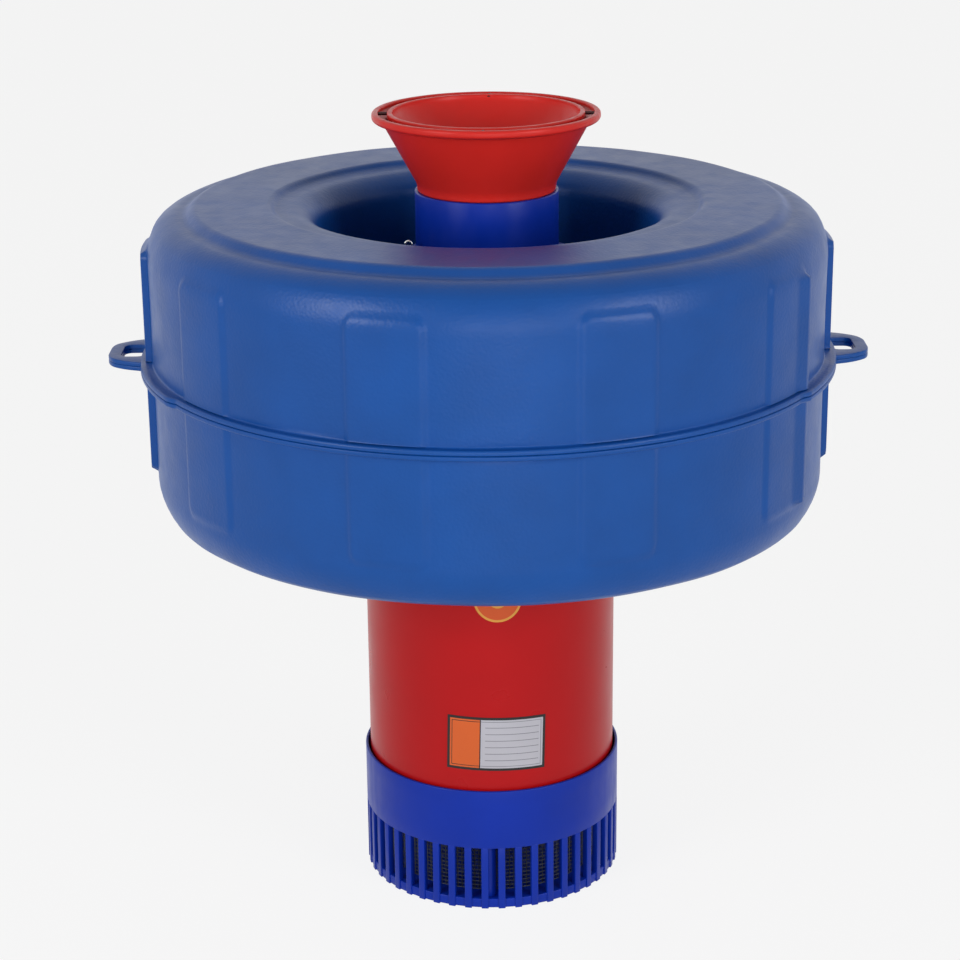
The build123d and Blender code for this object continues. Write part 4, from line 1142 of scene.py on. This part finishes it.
@dataclass
class Studio:
    """Pale floor, soft lamps and the camera."""

    camera_place: Spot = (-0.0085, -2.099, 1.085)
    camera_tilt: float = 71.31
    camera_roll: float = -0.587
    lens: float = 90.94
    floor_half: float = 14.0
    floor_share: float = 0.87
    aim: Spot = (0.0, 0.0, 0.45)
    lamps: tuple[Lamp, ...] = (
        Lamp("left", (-2.5, -2.3, 1.45), 1.3, 44.0),
        Lamp("right", (2.5, -2.4, 1.35), 1.3, 39.0),
        Lamp("front", (0.25, -3.3, 0.3), 1.8, 27.0),
    )
    sky: float = 0.18

    def build(self) -> None:
        """Sets up floor, world, lamps, camera and view."""
        self.floor()
        self.world()
        for lamp in self.lamps:
            self.hang(lamp)
        self.camera()
        bpy.context.scene.view_settings.view_transform = "Standard"

    def floor(self) -> None:
        """Lays the pale floor, which shows nearly white to the camera and keeps the shadow."""
        work = bmesh.new()
        bmesh.ops.create_grid(work, x_segments=8, y_segments=8, size=self.floor_half)
        mesh = bpy.data.meshes.new("floor")
        work.to_mesh(mesh)
        work.free()
        item = bpy.data.objects.new("floor", mesh)
        bpy.context.scene.collection.objects.link(item)
        material = bpy.data.materials.new("floor_white")
        material.use_nodes = True
        nodes, links = material.node_tree.nodes, material.node_tree.links
        shader = nodes["Principled BSDF"]
        shader.inputs["Base Color"].default_value = (0.82, 0.82, 0.82, 1)
        shader.inputs["Roughness"].default_value = 0.9
        glow = nodes.new("ShaderNodeEmission")
        glow.inputs["Color"].default_value = (1, 1, 1, 1)
        glow.inputs["Strength"].default_value = 1.0
        share = nodes.new("ShaderNodeMath")
        share.operation = "MULTIPLY"
        share.inputs[1].default_value = self.floor_share
        mix = nodes.new("ShaderNodeMixShader")
        links.new(self.seen_rays(nodes, links), share.inputs[0])
        links.new(share.outputs[0], mix.inputs["Fac"])
        links.new(shader.outputs["BSDF"], mix.inputs[1])
        links.new(glow.outputs["Emission"], mix.inputs[2])
        links.new(mix.outputs["Shader"], nodes["Material Output"].inputs["Surface"])
        mesh.materials.append(material)

    def seen_rays(self, nodes: bpy.types.Nodes, links: bpy.types.NodeLinks) -> bpy.types.NodeSocket:
        """Returns 1 for camera, glossy and transmission rays, and 0 for the rest.

        Args:
            nodes: Nodes of the tree that asks.
            links: Links of that tree.

        Returns:
            The socket with the value.
        """
        path = nodes.new("ShaderNodeLightPath")
        total = path.outputs["Is Camera Ray"]
        for name in ("Is Glossy Ray", "Is Transmission Ray"):
            add = nodes.new("ShaderNodeMath")
            add.use_clamp = True
            links.new(total, add.inputs[0])
            links.new(path.outputs[name], add.inputs[1])
            total = add.outputs[0]
        return total

    def world(self) -> None:
        """Lights the room softly and shows white to the camera and in reflections."""
        world = bpy.data.worlds.new("room")
        bpy.context.scene.world = world
        world.use_nodes = True
        nodes, links = world.node_tree.nodes, world.node_tree.links
        soft = nodes["Background"]
        soft.inputs["Color"].default_value = (1, 1, 1, 1)
        soft.inputs["Strength"].default_value = self.sky
        white = nodes.new("ShaderNodeBackground")
        white.inputs["Color"].default_value = (1, 1, 1, 1)
        white.inputs["Strength"].default_value = 1.0
        mix = nodes.new("ShaderNodeMixShader")
        links.new(self.seen_rays(nodes, links), mix.inputs["Fac"])
        links.new(soft.outputs["Background"], mix.inputs[1])
        links.new(white.outputs["Background"], mix.inputs[2])
        links.new(mix.outputs["Shader"], nodes["World Output"].inputs["Surface"])

    def hang(self, lamp: Lamp) -> None:
        """Hangs one lamp and aims it at the middle of the object.

        Args:
            lamp: The lamp.
        """
        light = bpy.data.lights.new(lamp.name, "AREA")
        light.shape = "SQUARE"
        light.size = lamp.size
        light.energy = lamp.power
        item = bpy.data.objects.new(lamp.name, light)
        bpy.context.scene.collection.objects.link(item)
        item.location = lamp.place
        item.rotation_euler = (Vector(self.aim) - Vector(lamp.place)).to_track_quat("-Z", "Y").to_euler()

    def camera(self) -> None:
        """Sets the camera at the photograph's place."""
        data = bpy.data.cameras.new("camera")
        data.sensor_width = 36.0
        data.lens = self.lens
        item = bpy.data.objects.new("camera", data)
        bpy.context.scene.collection.objects.link(item)
        turn = Matrix.Rotation(math.radians(self.camera_tilt), 4, "X")
        turn = turn @ Matrix.Rotation(math.radians(self.camera_roll), 4, "Z")
        item.matrix_world = Matrix.Translation(self.camera_place) @ turn
        bpy.context.scene.camera = item


def main() -> None:
    logging.basicConfig(level=logging.INFO, format="%(message)s")
    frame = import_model()
    shop = Shop(frame)
    shop.dress_nodes()
    for part in (Float(), Horn(), Column(), Strainer(), Hardware()):
        part.build(shop)
        LOG.info("%s built", type(part).__name__)
    Studio().build()


if __name__ == "__main__":
    main()
